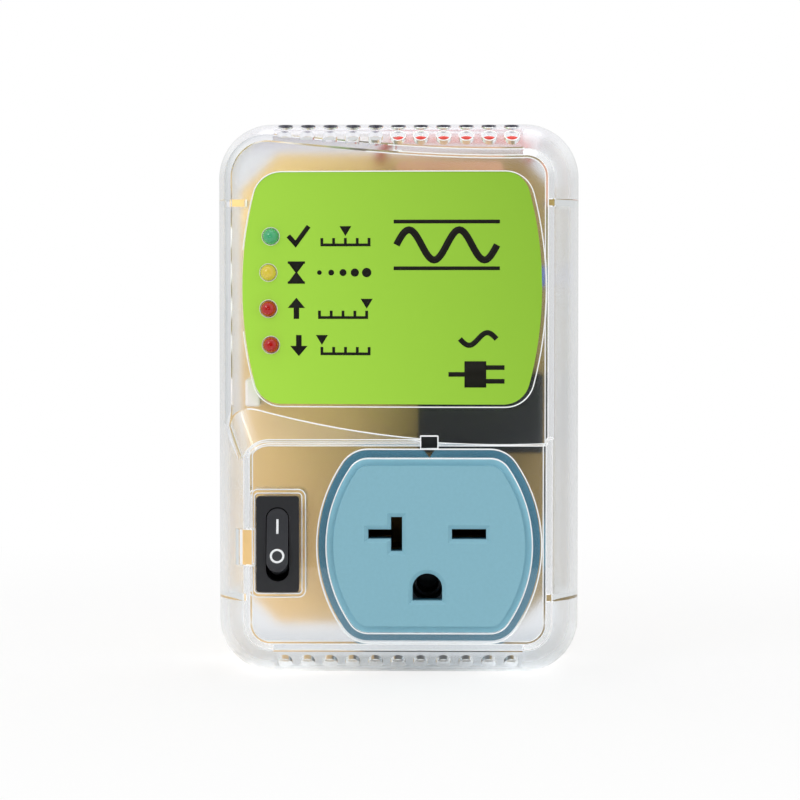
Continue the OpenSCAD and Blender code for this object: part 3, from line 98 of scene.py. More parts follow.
def add(tree, kind, inputs=None, **settings):
    """Adds one shader node; an input takes a value, or the socket that feeds it.

    Inputs 1 to 4 of a MapRange are the span it reads and the span it gives. Inputs 6 and 7 of a Mix are its
    two colours."""
    made = tree.nodes.new("ShaderNode" + kind)
    for name, value in settings.items():
        setattr(made, name, value)
    for name, value in (inputs or {}).items():
        if isinstance(value, bpy.types.NodeSocket):
            tree.links.new(value, made.inputs[name])
        else:
            made.inputs[name].default_value = value
    return made


world = bpy.data.worlds.new("studio_room")
bpy.context.scene.world = world
world.use_nodes = True
room = world.node_tree
room.nodes.clear()
facing = add(room, "TexCoord")
axes = add(room, "SeparateXYZ", {0: facing.outputs["Generated"]})
height = add(room, "MapRange", {0: axes.outputs["Z"], 1: -0.7, 2: 0.5, 3: 0.45, 4: 1.0})
front = add(room, "MapRange", {0: axes.outputs["Y"], 1: -0.97, 2: -0.55, 3: 0.04, 4: 1.0})
dimming = add(room, "Math", {0: height.outputs[0], 1: front.outputs[0]}, operation="MULTIPLY")
ray = add(room, "LightPath")
mirrored = add(room, "Mix", {0: ray.outputs["Is Glossy Ray"], 2: 0.8, 3: dimming.outputs[0]})
through = add(room, "Mix", {0: ray.outputs["Is Transmission Ray"], 2: mirrored.outputs[0], 3: 1.0})
strength = add(room, "Mix", {0: ray.outputs["Is Camera Ray"], 2: through.outputs[0], 3: 1.0})
backdrop = add(room, "Background", {"Color": (1, 1, 1, 1), "Strength": strength.outputs[0]})
room_out = room.nodes.new("ShaderNodeOutputWorld")
room.links.new(backdrop.outputs[0], room_out.inputs[0])

softboxes = {
    "key_softbox": ((-0.75, -0.95, 0.75), 0.5, 3.2),
    "fill_softbox": ((0.9, -0.9, 0.25), 0.9, 1.0),
    "top_softbox": ((0.05, 0.0, 1.1), 0.8, 1.6),
}
for name, (place, size, power) in softboxes.items():
    lamp = bpy.data.lights.new(name, "AREA")
    lamp.shape = "SQUARE"
    lamp.size = size
    lamp.energy = power
    box = bpy.data.objects.new(name, lamp)
    bpy.context.collection.objects.link(box)
    box.location = place
    box.rotation_euler = Vector(place).to_track_quat("Z", "Y").to_euler()


def sheet_of(name, grids, closed=False):
    """Mesh object from grids of points, with one quad between each four neighbours.

    closed joins the end of each row to its start."""
    points, quads, first = [], [], 0
    for grid in grids:
        rows, cols = grid.shape[:2]
        index = first + np.arange(rows * cols).reshape(rows, cols)
        if closed:
            index = np.concatenate([index, index[:, :1]], axis=1)
        corners = [index[:-1, :-1], index[:-1, 1:], index[1:, 1:], index[1:, :-1]]
        quads.append(np.stack(corners, axis=-1).reshape(-1, 4))
        points.append(grid.reshape(-1, 3))
        first += rows * cols
    mesh = bpy.data.meshes.new(name)
    mesh.from_pydata(np.concatenate(points).tolist(), [], np.concatenate(quads).tolist())
    mesh.polygons.foreach_set("use_smooth", np.ones(len(mesh.polygons), bool))
    made = bpy.data.objects.new(name, mesh)
    bpy.context.collection.objects.link(made)
    return made


def material(name, colour, **sockets):
    """New material with one Principled shader, and its tree and shader."""
    made = bpy.data.materials.new(name)
    made.use_nodes = True
    tree = made.node_tree
    shader = tree.nodes["Principled BSDF"]
    shader.inputs["Base Color"].default_value = linear(colour)
    for socket, value in sockets.items():
        shader.inputs[socket.replace("_", " ")].default_value = value
    return made, tree, shader


floor_half, floor_front = 1.6, -0.3
corners = np.array([
    [[x, y, cad_low.z] for x in (-floor_half, floor_half)]
    for y in (floor_front, floor_half)
])
floor = sheet_of("studio_floor", [corners])
floor_paint, tree, shader = material("floor_paint", "#f0f0f0", Roughness=0.8)
ray = add(tree, "LightPath")
seen_through = 0.75
either = {0: ray.outputs["Is Transmission Ray"], 1: seen_through, 2: ray.outputs["Is Camera Ray"]}
seen = add(tree, "Math", either, operation="MULTIPLY_ADD", use_clamp=True)
place = add(tree, "TexCoord")
reach = add(tree, "VectorMath", {0: place.outputs["Object"]}, operation="LENGTH")
fading = add(tree, "MapRange", {0: reach.outputs["Value"], 1: 0.08, 2: 0.3, 3: 0.72, 4: 1.0})
lift = add(tree, "Math", {0: seen.outputs[0], 1: fading.outputs[0]}, operation="MULTIPLY")
glow = add(tree, "Emission", {"Color": (1, 1, 1, 1), "Strength": 1.0})
mixed = add(tree, "MixShader", {0: lift.outputs[0], 1: shader.outputs[0], 2: glow.outputs[0]})
tree.links.new(mixed.outputs[0], tree.nodes["Material Output"].inputs["Surface"])
floor.data.materials.append(floor_paint)


# Circuit board: pressed paper laminate, tan and slightly mottled, with painted shade that browns it towards
# the right.
# It lies on four posts of the rear cover.
def grained(tree, shader, colour, second, size_mm, depth_mm):
    """Mottles the colour between two shades and roughens the surface, both at a grain of size_mm."""
    place = add(tree, "TexCoord")
    at, grain = place.outputs["Object"], size_mm * MM
    cloud = add(tree, "TexNoise", {"Vector": at, "Scale": 0.35 / grain, "Detail": 4.0})
    shades = add(tree, "Mix", {0: cloud.outputs["Fac"]}, data_type="RGBA")
    shades.inputs[6].default_value = linear(colour)
    shades.inputs[7].default_value = linear(second)
    tree.links.new(shades.outputs[2], shader.inputs["Base Color"])
    grit = add(tree, "TexNoise", {"Vector": at, "Scale": 1.0 / grain, "Detail": 3.0})
    bump = add(tree, "Bump", {"Height": grit.outputs["Fac"], "Distance": depth_mm * MM, "Strength": 1.0})
    tree.links.new(bump.outputs["Normal"], shader.inputs["Normal"])
    return place


def overlaid(tree, shader, share, colour):
    """Mixes a colour over the base colour, by the share that a socket gives."""
    mixed = add(tree, "Mix", {0: share}, data_type="RGBA")
    tree.links.new(shader.inputs["Base Color"].links[0].from_socket, mixed.inputs[6])
    mixed.inputs[7].default_value = linear(colour)
    tree.links.new(mixed.outputs[2], shader.inputs["Base Color"])


def finish(node, paint):
    """Gives a CAD node its material."""
    for holder in frame["nodes"][node].material_slots:
        holder.material = paint


def softened(node, edge_mm, angle=32):
    """Rounds the sharp edges of a CAD node on screen and smooths its curved faces, leaving its mesh alone."""
    piece = frame["nodes"][node]
    weld = piece.modifiers.new("weld", "WELD")
    weld.merge_threshold = 0.0005 * MM
    flats = piece.modifiers.new("flats", "DECIMATE")
    flats.decimate_type = "DISSOLVE"
    flats.angle_limit = math.radians(0.4)
    if edge_mm:
        edges = piece.modifiers.new("edges", "BEVEL")
        edges.width = edge_mm * MM
        edges.segments = 2
        edges.limit_method = "ANGLE"
        edges.angle_limit = math.radians(angle)
        edges.miter_outer = "MITER_ARC"
    piece.data.polygons.foreach_set("use_smooth", np.ones(len(piece.data.polygons), bool))
    shading = piece.modifiers.new("shading", "WEIGHTED_NORMAL")
    shading.keep_sharp = True
    return piece


laminate, tree, shader = material("paper_laminate", "#dcb97a", Roughness=0.6, Specular_IOR_Level=0.3)
place = grained(tree, shader, "#debd84", "#d4af76", 2.5, 0.01)
# Painted shade: the tan darkens to a brown from x = -8 mm to x = 22 mm.
axes = add(tree, "SeparateXYZ", {0: place.outputs["Object"]})
painted_shade_from, painted_shade_to = -8, 22
painted_shade_share = add(tree, "MapRange", {0: axes.outputs["X"], 1: painted_shade_from * MM, 2: painted_shade_to * MM, 3: 0.0, 4: 1.0})
overlaid(tree, shader, painted_shade_share.outputs[0], "#97804f")
finish("circuit_board", laminate)
softened("circuit_board", 0.1)


# Copper of the board: etched tracks and pads on its back under a clear lacquer, wide where the mains runs.
# A track is a row of points in mm, across and up as seen from the front, with a pad at both its ends.
def ribbon(path, width, parts=8):
    """Flat strip along a path: each stretch is cut in parts, and each point is moved half the width along
    its mitre, the sum of the two square directions over one plus their product."""
    path = np.array(path, float)
    steps = np.linspace(path[:-1], path[1:], parts, endpoint=False).transpose(1, 0, 2).reshape(-1, 2)
    path = np.concatenate([steps, path[-1:]])
    widths = np.interp(np.arange(len(path)) / parts, np.arange(np.size(width)), np.ravel(width))
    along = np.diff(path, axis=0)
    along /= np.linalg.norm(along, axis=1, keepdims=True)
    square = np.stack([-along[:, 1], along[:, 0]], axis=1)
    before, after = np.concatenate([square[:1], square]), np.concatenate([square, square[-1:]])
    mitre = (before + after) / (1 + (before * after).sum(axis=1, keepdims=True))
    side = mitre * widths[:, None] / 2
    return np.stack([path - side, path + side], axis=1)


def disc(centre, outer, inner=0.02, parts=32):
    """Flat ring: two radii against the turn from 0 to a full circle, whose last point is its first."""
    turn = np.linspace(0, 2 * math.pi, parts + 1)
    ring = np.stack([np.cos(turn), np.sin(turn)], axis=-1)
    return np.stack([np.array(centre) + inner * ring, np.array(centre) + outer * ring], axis=1)


def printed(name, flats, placing, towards, paint, body, thick_mm=0.03):
    """Thin layer on a surface: flat shapes in mm, laid down by placing and thickened towards one side."""
    grids = []
    for flat in flats:
        grid = placing(flat)
        facing = np.cross(grid[0, 1] - grid[0, 0], grid[1, 0] - grid[0, 0])
        grids.append(grid if np.dot(facing, towards) > 0 else grid[::-1])
    made = sheet_of(name, grids)
    weld = made.modifiers.new("weld", "WELD")
    weld.merge_threshold = 0.001 * MM
    layer = made.modifiers.new("layer", "SOLIDIFY")
    layer.thickness = thick_mm * MM
    layer.offset = 1
    made.data.materials.append(paint)
    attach(made, body)
    return made


def on_board_back(flat):
    """Points across and up the board, in mm, laid on its back face."""
    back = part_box("circuit_board")[1].y / MM
    return np.stack([flat[..., 0], np.full(flat.shape[:-1], back), flat[..., 1]], axis=-1) * MM


mains_tracks = (
    ((-0.2, -29.1), (-0.2, -20), (8.9, -14), (8.9, -9)),
    ((15.6, -29.1), (15.6, -19), (31.5, -13), (31.5, 20), (29.6, 27.3)),
    ((27.5, 2.8), (27.5, 10), (26.6, 20), (22.9, 27.3)),
    ((19.4, 45.5), (29.6, 37), (29.6, 27.3)),
)
supply_tracks = (
    ((3.4, 45.5), (3.4, 42), (8.1, 37), (8.1, 25.8)),
    ((8.1, 15.8), (8.5, 12.2)),
    ((13.1, 15.8), (13.1, 18.5), (23.1, 18.5), (23.1, 15.8)),
    ((13.1, 25.8), (13.1, 29), (2, 33.8)),
    ((16.5, 12.2), (18.1, 15.8)),
    ((18.1, 25.8), (18.1, 31), (10, 38.5), (-3, 38.5), (-3, 33.8)),
    ((-12, 16.6), (-12, 6.8), (-12, 0), (8.9, 2.8)),
    ((-24.7, -27), (-24.7, 3), (-22.8, 6.8)),
    ((-24.7, -35.8), (-32, -30), (-32, -2), (-29.5, 12.2)),
)
signal_tracks = (
    ((-15.5, 21.9), (-20, 21.9), (-21.8, 20.1), (-27.3, 20.1)),
    ((-15.5, 29.5), (-22, 29.5), (-23.4, 28.1), (-27.3, 28.1)),
    ((-15.5, 37.1), (-21.5, 37.1), (-22.6, 36), (-26.7, 36)),
    ((-15.5, 24.4), (-18.5, 24.4), (-24.6, 18.3), (-24.6, 14.2), (-26.7, 12.2)),
    ((-29.3, 12.2), (-33, 15.9), (-33, 32.3), (-29.3, 36)),
    ((-8.6, 21.9), (-8.6, 19.4), (-5.8, 16.6), (-1.3, 16.6)),
    ((-8.6, 24.4), (-4.2, 24.4), (1.2, 19), (1.2, 14.2), (-1.3, 11.7)),
    ((-8.6, 29.5), (-5, 29.5), (-3, 33.8)),
    ((-8.6, 37.1), (-8.6, 38.8), (-13.3, 43.5)),
    ((-15.5, 34.6), (-18.5, 36.5), (-18.5, 41.5), (-16.5, 43.5)),
    ((-22.8, 16.6), (-22.8, 11.7)),
)
widths_and_pads = ((mains_tracks, 3.2, 2.2), (supply_tracks, 1.6, 1.5), (signal_tracks, 0.8, 1.3))
copper_look = {"Metallic": 0.7, "Roughness": 0.35, "Coat_Weight": 0.6}
lacquered, tree, shader = material("lacquered_copper", "#a86a3a", **copper_look)
grained(tree, shader, "#b07243", "#9a5d31", 1.5, 0.004)
copper = []
for tracks, width, pad_radius in widths_and_pads:
    copper += [ribbon(track, width) for track in tracks]
    copper += [disc(track[end], pad_radius) for track in tracks for end in (0, -1)]
printed("board_copper", copper, on_board_back, (0, 1, 0), lacquered, "unit")

# Solder joints: bright tin cones under the leads of every part.
# They are soldered on the back of the board, one to each lead.
solder, tree, shader = material("solder_tin", "#c9c9c6", Metallic=1.0, Roughness=0.28)
grained(tree, shader, "#d2d2cf", "#b5b5b1", 0.5, 0.01)
finish("solder_joints", solder)
softened("solder_joints", 0)

# Relay: black moulded case over its base, with the coil, yoke, armature and contacts sealed inside.
# The coil is wound of enamelled copper, the yoke and the armature are bent of plated iron, and the base
# stands on the board.
relay_plastic, tree, shader = material("relay_phenolic", "#222426", Roughness=0.5, Specular_IOR_Level=0.35)
grained(tree, shader, "#252729", "#1e2022", 0.3, 0.008)
for node in ("relay_case", "relay_base"):
    finish(node, relay_plastic)
    softened(node, 0.25)
enamel, tree, shader = material("enamelled_copper", "#9c4a22", Metallic=0.6, Roughness=0.35)
grained(tree, shader, "#a8522a", "#8a3f1c", 0.12, 0.03)
finish("relay_coil", enamel)
iron, tree, shader = material("zinc_plated_iron", "#a9a9a4", Metallic=1.0, Roughness=0.35)
grained(tree, shader, "#aeaea8", "#9a9a95", 0.2, 0.004)
for node in ("relay_yoke", "relay_armature"):
    finish(node, iron)
    softened(node, 0.1)

# Capacitors: a dipped red-brown film block at the upper edge of the board, and two cans in printed sleeves.
# The cans are drawn of aluminium, in shrunk sleeves, and the plate on top of each is scored crosswise.
dip, tree, shader = material("dipped_epoxy", "#d39a80", Roughness=0.35, Coat_Weight=0.3, Coat_Roughness=0.1)
grained(tree, shader, "#d8a087", "#cb9077", 1.2, 0.02)
finish("film_capacitor", dip)
softened("film_capacitor", 0.5)


def banded(tree, shader, place, axis, bands_mm, from_mm=0.0, pitch_mm=1000.0):
    """Paints bands over the colour: each is (start, end, colour) in mm along an axis, repeated at a pitch."""
    axes = add(tree, "SeparateXYZ", {0: place.outputs["Object"]})
    offset = add(tree, "Math", {0: axes.outputs[axis], 1: from_mm * MM}, operation="SUBTRACT")
    repeat = add(tree, "Math", {0: offset.outputs[0], 1: pitch_mm * MM}, operation="FLOORED_MODULO")
    for start, end, code in bands_mm:
        span = {0: repeat.outputs[0], 1: (start + end) / 2 * MM, 2: (end - start) / 2 * MM}
        inside = add(tree, "Math", span, operation="COMPARE")
        overlaid(tree, shader, inside.outputs[0], code)


stripe_half, rim = 1.3, 0.8
plate_out, plate_thick = 0.14, 0.1
score_depth, score_half, score_reach = 0.12, 0.15, 0.75
for node in ("storage_capacitor", "filter_capacitor"):
    low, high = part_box(node)
    middle, radius = (low + high) / 2 / MM, (high.x - low.x) / 2 / MM
    sleeve, tree, shader = material("shrink_sleeve_of_" + node, "#20242c", Roughness=0.35)
    place = grained(tree, shader, "#242833", "#1b1f26", 0.4, 0.01)
    banded(tree, shader, place, "Z", [(0, 2 * stripe_half, "#a9b1b8")], from_mm=middle.z - stripe_half)
    banded(tree, shader, place, "X", [(0, radius, "#242833")], from_mm=middle.x)
    finish(node, sleeve)
    softened(node, 0.25)
    turn = np.linspace(0, 2 * math.pi, 65)[:-1]
    out = np.linspace(0.01, radius - rim, 24)[:, None]
    across, up = out * np.cos(turn), out * np.sin(turn)
    from_cross = np.minimum(abs(across), abs(up))
    score = score_depth * np.exp(-(from_cross / score_half) ** 2) * (out < score_reach * radius)
    front = low.y / MM - plate_out + score
    top = np.stack([middle.x + across, front, middle.z + up], axis=-1) * MM
    cap = sheet_of(node + "_vent_plate", [top[::-1]], closed=True)
    layer = cap.modifiers.new("layer", "SOLIDIFY")
    layer.thickness = plate_thick * MM
    layer.offset = -1
    aluminium, tree, shader = material("pressed_aluminium_of_" + node, "#c6c8ca", Metallic=1.0, Roughness=0.3)
    grained(tree, shader, "#cccecf", "#b9bbbd", 0.3, 0.004)
    cap.data.materials.append(aluminium)
    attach(cap, "unit")

# Varistor, diodes, resistors, control chip and transistor: the small parts of the supply and the control.
# A dipped disc, moulded epoxy bodies with tinned legs and lacquered rods, all soldered through the board.
blue_dip, tree, shader = material("blue_dipped_epoxy", "#2350a0", Roughness=0.3, Coat_Weight=0.4)
grained(tree, shader, "#2856a8", "#1f4890", 1.0, 0.02)
finish("varistor", blue_dip)
softened("varistor", 0.6)
moulding, tree, shader = material("moulded_epoxy", "#242426", Roughness=0.55)
grained(tree, shader, "#28282a", "#202022", 0.15, 0.008)
for node in ("transistor", "plug_retainer"):
    finish(node, moulding)
    softened(node, 0.1)
tin = "#c3c4c4"
chip_low, chip_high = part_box("controller_chip")
chip_width, leg = (chip_high.x - chip_low.x) / MM, 0.5
chip_epoxy, tree, shader = material("moulded_epoxy_and_tinned_legs", "#242426", Roughness=0.5)
place = grained(tree, shader, "#28282a", "#202022", 0.15, 0.008)
legs = [(0, leg, tin), (chip_width - leg, chip_width, tin)]
banded(tree, shader, place, "X", legs, from_mm=chip_low.x / MM)
finish("controller_chip", chip_epoxy)
softened("controller_chip", 0.1)
diode_low, diode_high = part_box("bridge_diodes")
body_half, lead, ring, past_end = 2.6, 2.4, 0.9, 11
band_end = ((diode_high.z + diode_low.z) / 2 - diode_low.z) / MM + body_half
diode_epoxy, tree, shader = material("diode_epoxy", "#242426", Roughness=0.45)
place = grained(tree, shader, "#28282a", "#202022", 0.15, 0.008)
diode_bands = [(0, lead, tin), (band_end - ring, band_end, "#d4d5d4"), (band_end + 0.3, past_end, tin)]
banded(tree, shader, place, "Z", diode_bands, from_mm=diode_low.z / MM)
finish("bridge_diodes", diode_epoxy)
softened("bridge_diodes", 0.1)
resistor_low, resistor_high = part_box("resistors")
resistor_pitch, resistor_body, apart, code_width = 11.5, 6.3, 0.9, 0.55
body_from = ((resistor_high.x - resistor_low.x) / MM - resistor_pitch - resistor_body) / 2
ends = [(0, body_from, tin), (body_from + resistor_body, resistor_pitch - apart, tin)]
code_bands = [(0.8, "#6b3a1e"), (1.9, "#232120"), (3.0, "#c4531c"), (4.9, "#a98a3c")]
lacquer, tree, shader = material("resistor_lacquer", "#c9b38a", Roughness=0.35, Coat_Weight=0.3)
place = grained(tree, shader, "#cfb98f", "#bfa97f", 0.6, 0.01)
bands = ends + [(body_from + start, body_from + start + code_width, code) for start, code in code_bands]
banded(tree, shader, place, "X", bands, from_mm=resistor_low.x / MM, pitch_mm=resistor_pitch)
finish("resistors", lacquer)
softened("resistors", 0.3)
cement, tree, shader = material("grey_blue_lacquer", "#8fa3b0", Roughness=0.4)
grained(tree, shader, "#95a9b6", "#8598a5", 0.6, 0.01)
finish("power_resistor", cement)
softened("power_resistor", 0.4)

# Wires: tinned copper in soft coloured insulation, from the blades and the switch to the board.
# Both ends of each are soldered, so they stay as they are laid.
for node, colour, second in (
    ("line_wire", "#1d1d1e", "#262627"),
    ("return_wire", "#e2e2de", "#d6d6d2"),
    ("switch_wires", "#a62119", "#951a13"),
):
    insulation, tree, shader = material("insulation_of_" + node, colour, Roughness=0.4)
    grained(tree, shader, colour, second, 0.8, 0.01)
    finish(node, insulation)
    softened(node, 0)

# Jumper: a stiff red wire from the mains track to the supply, laid along the top wall, where the vents
# show it. It is solid copper in insulation, and both its ends go through the board.
def tube(path, radius, parts=20, bend=0.25):
    """Round wire along a path: its corners are rounded by quadratic curves over a share of each stretch, and
    a circle of the radius stands square to the way at each point."""
    path = np.array(path, float)
    way = [path[0]]
    for before, at, after in zip(path, path[1:], path[2:]):
        start, end = at + bend * (before - at), at + bend * (after - at)
        t = np.linspace(0, 1, parts)[:, None]
        way += list((1 - t) ** 2 * start + 2 * t * (1 - t) * at + t ** 2 * end)
    way = np.array(way + [path[-1]])
    along = np.gradient(way, axis=0)
    along /= np.linalg.norm(along, axis=1, keepdims=True)
    side = np.cross(along, (0.31, 0.27, 0.91))
    side /= np.linalg.norm(side, axis=1, keepdims=True)
    other = np.cross(along, side)
    turn = np.linspace(0, 2 * math.pi, 17)[:-1, None]
    ring = radius * (np.cos(turn) * side[:, None] + np.sin(turn) * other[:, None])
    return (way[:, None] + ring) * MM


board_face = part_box("circuit_board")[0].y / MM
jumper_radius = 0.95
jumper_path = [
    (29.6, board_face, 54), (29.6, -19, 55), (28.5, -26, 57.6), (26, -33.2, 57.6),
    (1, -33.2, 57.6), (-2, -26, 57.6), (-4.5, -19, 55), (-4.5, board_face, 54),
]
jumper = sheet_of("jumper_wire", [tube(jumper_path, jumper_radius)], closed=True)
jumper_skin, tree, shader = material("insulation_of_jumper", "#b8281c", Roughness=0.4)
grained(tree, shader, "#c03022", "#aa2016", 0.8, 0.01)
jumper.data.materials.append(jumper_skin)
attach(jumper, "unit")

# Plug: a white nylon block clamped in the wall face, with two nickel plated blades and a round ground pin.
# A retainer with zinc plated screws holds the blades from inside. The lamps' sleeves and the plunger of the
# switch are of the same nylon.
nylon, tree, shader = material("white_nylon", "#e4e4df", Roughness=0.45, Subsurface_Weight=0.1)
shader.inputs["Subsurface Radius"].default_value = (0.002, 0.002, 0.002)
grained(tree, shader, "#e8e8e3", "#dcdcd6", 0.5, 0.01)
for node in ("plug_base", "led_spacers", "switch_plunger"):
    finish(node, nylon)
    softened(node, 0.2)
nickel, tree, shader = material("nickel_plated_brass", "#c8c2b4", Metallic=1.0, Roughness=0.24)
place = grained(tree, shader, "#cfc9bc", "#bdb6a6", 0.4, 0.004)
for node in ("plug_blade_upright", "plug_blade_flat", "plug_ground_pin"):
    finish(node, nickel)
    softened(node, 0.15)
zinc, tree, shader = material("zinc_plated_steel", "#b9bab8", Metallic=1.0, Roughness=0.3)
grained(tree, shader, "#c0c1bf", "#acadab", 0.25, 0.006)
for node in ("plug_screws", "switch_spring", "led_leads"):
    finish(node, zinc)
    softened(node, 0.1 if node == "plug_screws" else 0)


# Rear cover: clear polycarbonate, injection moulded and glossy, 2 mm thick.
# Lamps shine through it on straight lines, so that they reach what lies inside.
def clear(name, tint, skin, inside):
    """Clear plastic with a glossy outer skin and an inside that blurs what lies behind it.

    A wall faces out where its normal points away from the middle of the case, and in where it points there.
    Along the upper and lower shoulders its colour is painted greyer, as shade, most at the bottom.
    Lamps and mirrored rays pass straight, and room light gains a little, for the bounces that a shell holds."""
    made, tree, shader = material(name, tint, Roughness=skin, IOR=1.585, Transmission_Weight=1.0)
    face, place, ray = add(tree, "NewGeometry"), add(tree, "TexCoord"), add(tree, "LightPath")
    middle = (0, (cad_low.y + cad_high.y) / 2, 0)
    grey_from, grey_full, held_light = 6.2, 2.5, 1.28
    arm = add(tree, "VectorMath", {0: place.outputs["Object"], 1: middle}, operation="SUBTRACT")
    both = {0: arm.outputs[0], 1: face.outputs["True Normal"]}
    away = add(tree, "VectorMath", both, operation="DOT_PRODUCT")
    flip = add(tree, "Math", {0: face.outputs["Backfacing"], 1: -2.0, 2: 1.0}, operation="MULTIPLY_ADD")
    outward = add(tree, "Math", {0: away.outputs["Value"], 1: flip.outputs[0]}, operation="MULTIPLY")
    outer = add(tree, "Math", {0: outward.outputs[0], 1: 0.0}, operation="GREATER_THAN")
    rough = add(tree, "MapRange", {0: outer.outputs[0], 1: 0.0, 2: 1.0, 3: inside, 4: skin})
    tree.links.new(rough.outputs[0], shader.inputs["Roughness"])
    # Painted shade: the wall's colour turns grey towards the upper and lower shoulders, bluer above and darker
    # below.
    axes = add(tree, "SeparateXYZ", {0: place.outputs["Object"]})
    level = add(tree, "Math", {0: axes.outputs["Z"]}, operation="ABSOLUTE")
    edge = {1: cad_high.z - grey_from * MM, 2: cad_high.z - grey_full * MM, 3: 0.0, 4: 1.0}
    along = add(tree, "MapRange", {0: level.outputs[0], **edge})
    above = add(tree, "Math", {0: axes.outputs["Z"], 1: 0.0}, operation="GREATER_THAN")
    shoulder_painted_shade = add(tree, "Mix", {0: above.outputs[0]}, data_type="RGBA")
    shoulder_painted_shade.inputs[6].default_value = linear("#d2d9e0")
    shoulder_painted_shade.inputs[7].default_value = linear("#e9e8f1")
    hue = add(tree, "Mix", {0: along.outputs[0]}, data_type="RGBA")
    hue.inputs[6].default_value = linear(tint)
    tree.links.new(shoulder_painted_shade.outputs[2], hue.inputs[7])
    tree.links.new(hue.outputs[2], shader.inputs["Base Color"])
    passed = add(tree, "Mix", {0: ray.outputs["Is Diffuse Ray"]}, data_type="RGBA")
    passed.inputs[6].default_value = (0.95, 0.96, 0.96, 1)
    passed.inputs[7].default_value = (held_light, held_light, held_light, 1)
    through = add(tree, "BsdfTransparent", {"Color": passed.outputs[2]})
    lit = {0: ray.outputs["Is Shadow Ray"], 1: ray.outputs["Is Diffuse Ray"]}
    lamp_ray = add(tree, "Math", lit, operation="MAXIMUM")
    mirror = {0: ray.outputs["Is Glossy Ray"], 1: ray.outputs["Is Transmission Ray"]}
    turned_back = add(tree, "Math", mirror, operation="SUBTRACT", use_clamp=True)
    straight = add(tree, "Math", {0: lamp_ray.outputs[0], 1: turned_back.outputs[0]}, operation="MAXIMUM")
    mixed = add(tree, "MixShader", {0: straight.outputs[0], 1: shader.outputs[0], 2: through.outputs[0]})
    tree.links.new(mixed.outputs[0], tree.nodes["Material Output"].inputs["Surface"])
    return made, tree, shader


def sharp_edges(node, name, angle, radius_mm, paint, kept):
    """Fine round beads along the sharp edges of a CAD node: its doubles are merged in a copy, the edges whose
    two faces turn by more than the angle are chained into curves, and a small circle is carried along each."""
    mesh = bmesh.new()
    mesh.from_mesh(frame["nodes"][node].data)
    bmesh.ops.remove_doubles(mesh, verts=mesh.verts, dist=0.002 * MM)
    smooth = [
        edge for edge in mesh.edges
        if len(edge.link_faces) != 2
        or edge.calc_face_angle(0) <= angle
        or not kept(*edge.verts[0].co, *edge.verts[1].co)
    ]
    bmesh.ops.delete(mesh, geom=smooth, context="EDGES_FACES")
    bmesh.ops.delete(mesh, geom=[v for v in mesh.verts if not v.link_edges], context="VERTS")
    wire = bpy.data.meshes.new(name)
    mesh.to_mesh(wire)
    mesh.free()
    made = bpy.data.objects.new(name, wire)
    bpy.context.collection.objects.link(made)
    bpy.context.view_layer.update()
    picked = {"selected_objects": [made], "selected_editable_objects": [made]}
    with bpy.context.temp_override(object=made, active_object=made, **picked):
        bpy.ops.object.convert(target="CURVE")
        made.data.bevel_depth = radius_mm * MM
        made.data.bevel_resolution = 1
        made.data.use_fill_caps = True
        bpy.ops.object.convert(target="MESH")
    made.data.materials.clear()
    made.data.materials.append(paint)
    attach(made, "unit")
    return made


rear_plastic, tree, shader = clear("polycarbonate_rear", "#fafcff", 0.04, 0.08)
finish("rear_cover", rear_plastic)
softened("rear_cover", 0.2)

# Outlet: blue-grey nylon face and body, with rolled brass contacts behind the slots.
# The face stands in the front cover's opening, and its flange lies deeper, darkened with painted shade for the
# shade of the rim.
outlet_nylon, tree, shader = material("blue_nylon", "#84b7c7", Roughness=0.42)
place = grained(tree, shader, "#86bacb", "#80b2c2", 0.25, 0.006)
# Painted shade: from 2.4 mm behind the face's front, the blue turns dark, as the rim shades the flange.
flange_depth, flange_edge = 2.4, 0.5
flange_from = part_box("receptacle_face")[0].y + flange_depth * MM
axes = add(tree, "SeparateXYZ", {0: place.outputs["Object"]})
flange_shade_span = {1: flange_from, 2: flange_from + flange_edge * MM, 3: 0.0, 4: 1.0}
flange_painted_shade = add(tree, "MapRange", {0: axes.outputs["Y"], **flange_shade_span})
overlaid(tree, shader, flange_painted_shade.outputs[0], "#3a7084")
finish("receptacle_face", outlet_nylon)
softened("receptacle_face", 0.25)
body_nylon, tree, shader = material("dark_blue_nylon", "#2a3640", Roughness=0.5)
grained(tree, shader, "#2e3b45", "#26313a", 0.3, 0.008)
finish("receptacle_base", body_nylon)
softened("receptacle_base", 0.2)
brass, tree, shader = material("tarnished_brass", "#7a6038", Metallic=1.0, Roughness=0.38)
grained(tree, shader, "#82683e", "#6b5330", 0.3, 0.006)
for node in ("tee_contact", "flat_contact", "ground_strap", "relay_contacts", "switch_terminals"):
    finish(node, brass)
    softened(node, 0.08)
sleeve_steel, tree, shader = material("oiled_spring_steel", "#55585c", Metallic=1.0, Roughness=0.4)
grained(tree, shader, "#5b5e62", "#4b4e52", 0.3, 0.006)
finish("ground_contact", sleeve_steel)
softened("ground_contact", 0.08)

# Rocker switch: black moulded nylon body and rocker, with the marks I and O printed in white.
# The body sits in the front cover. The rocker turns in it and tips a rolled copper lever with its plunger.
switch_nylon, tree, shader = material("black_nylon", "#222327", Roughness=0.38)
grained(tree, shader, "#26272b", "#1f2024", 0.2, 0.008)
finish("switch_housing", switch_nylon)
softened("switch_housing", 0.22)
rocker_nylon, tree, shader = material("rocker_nylon", "#37383c", Roughness=0.3)
grained(tree, shader, "#3b3c40", "#333438", 0.2, 0.006)
finish("switch_rocker", rocker_nylon)
softened("switch_rocker", 0.3)
rocker_joint = next(joint for joint in frame["joints"] if joint["name"] == "rocker_tilt")
pivot = np.array(rocker_joint["pos_m"]) / MM
rest_tilt = math.radians(rocker_joint["range_deg"][1] / 2)
face_height, dish_radius, dish_depth = 5.0, 45.0, 0.35


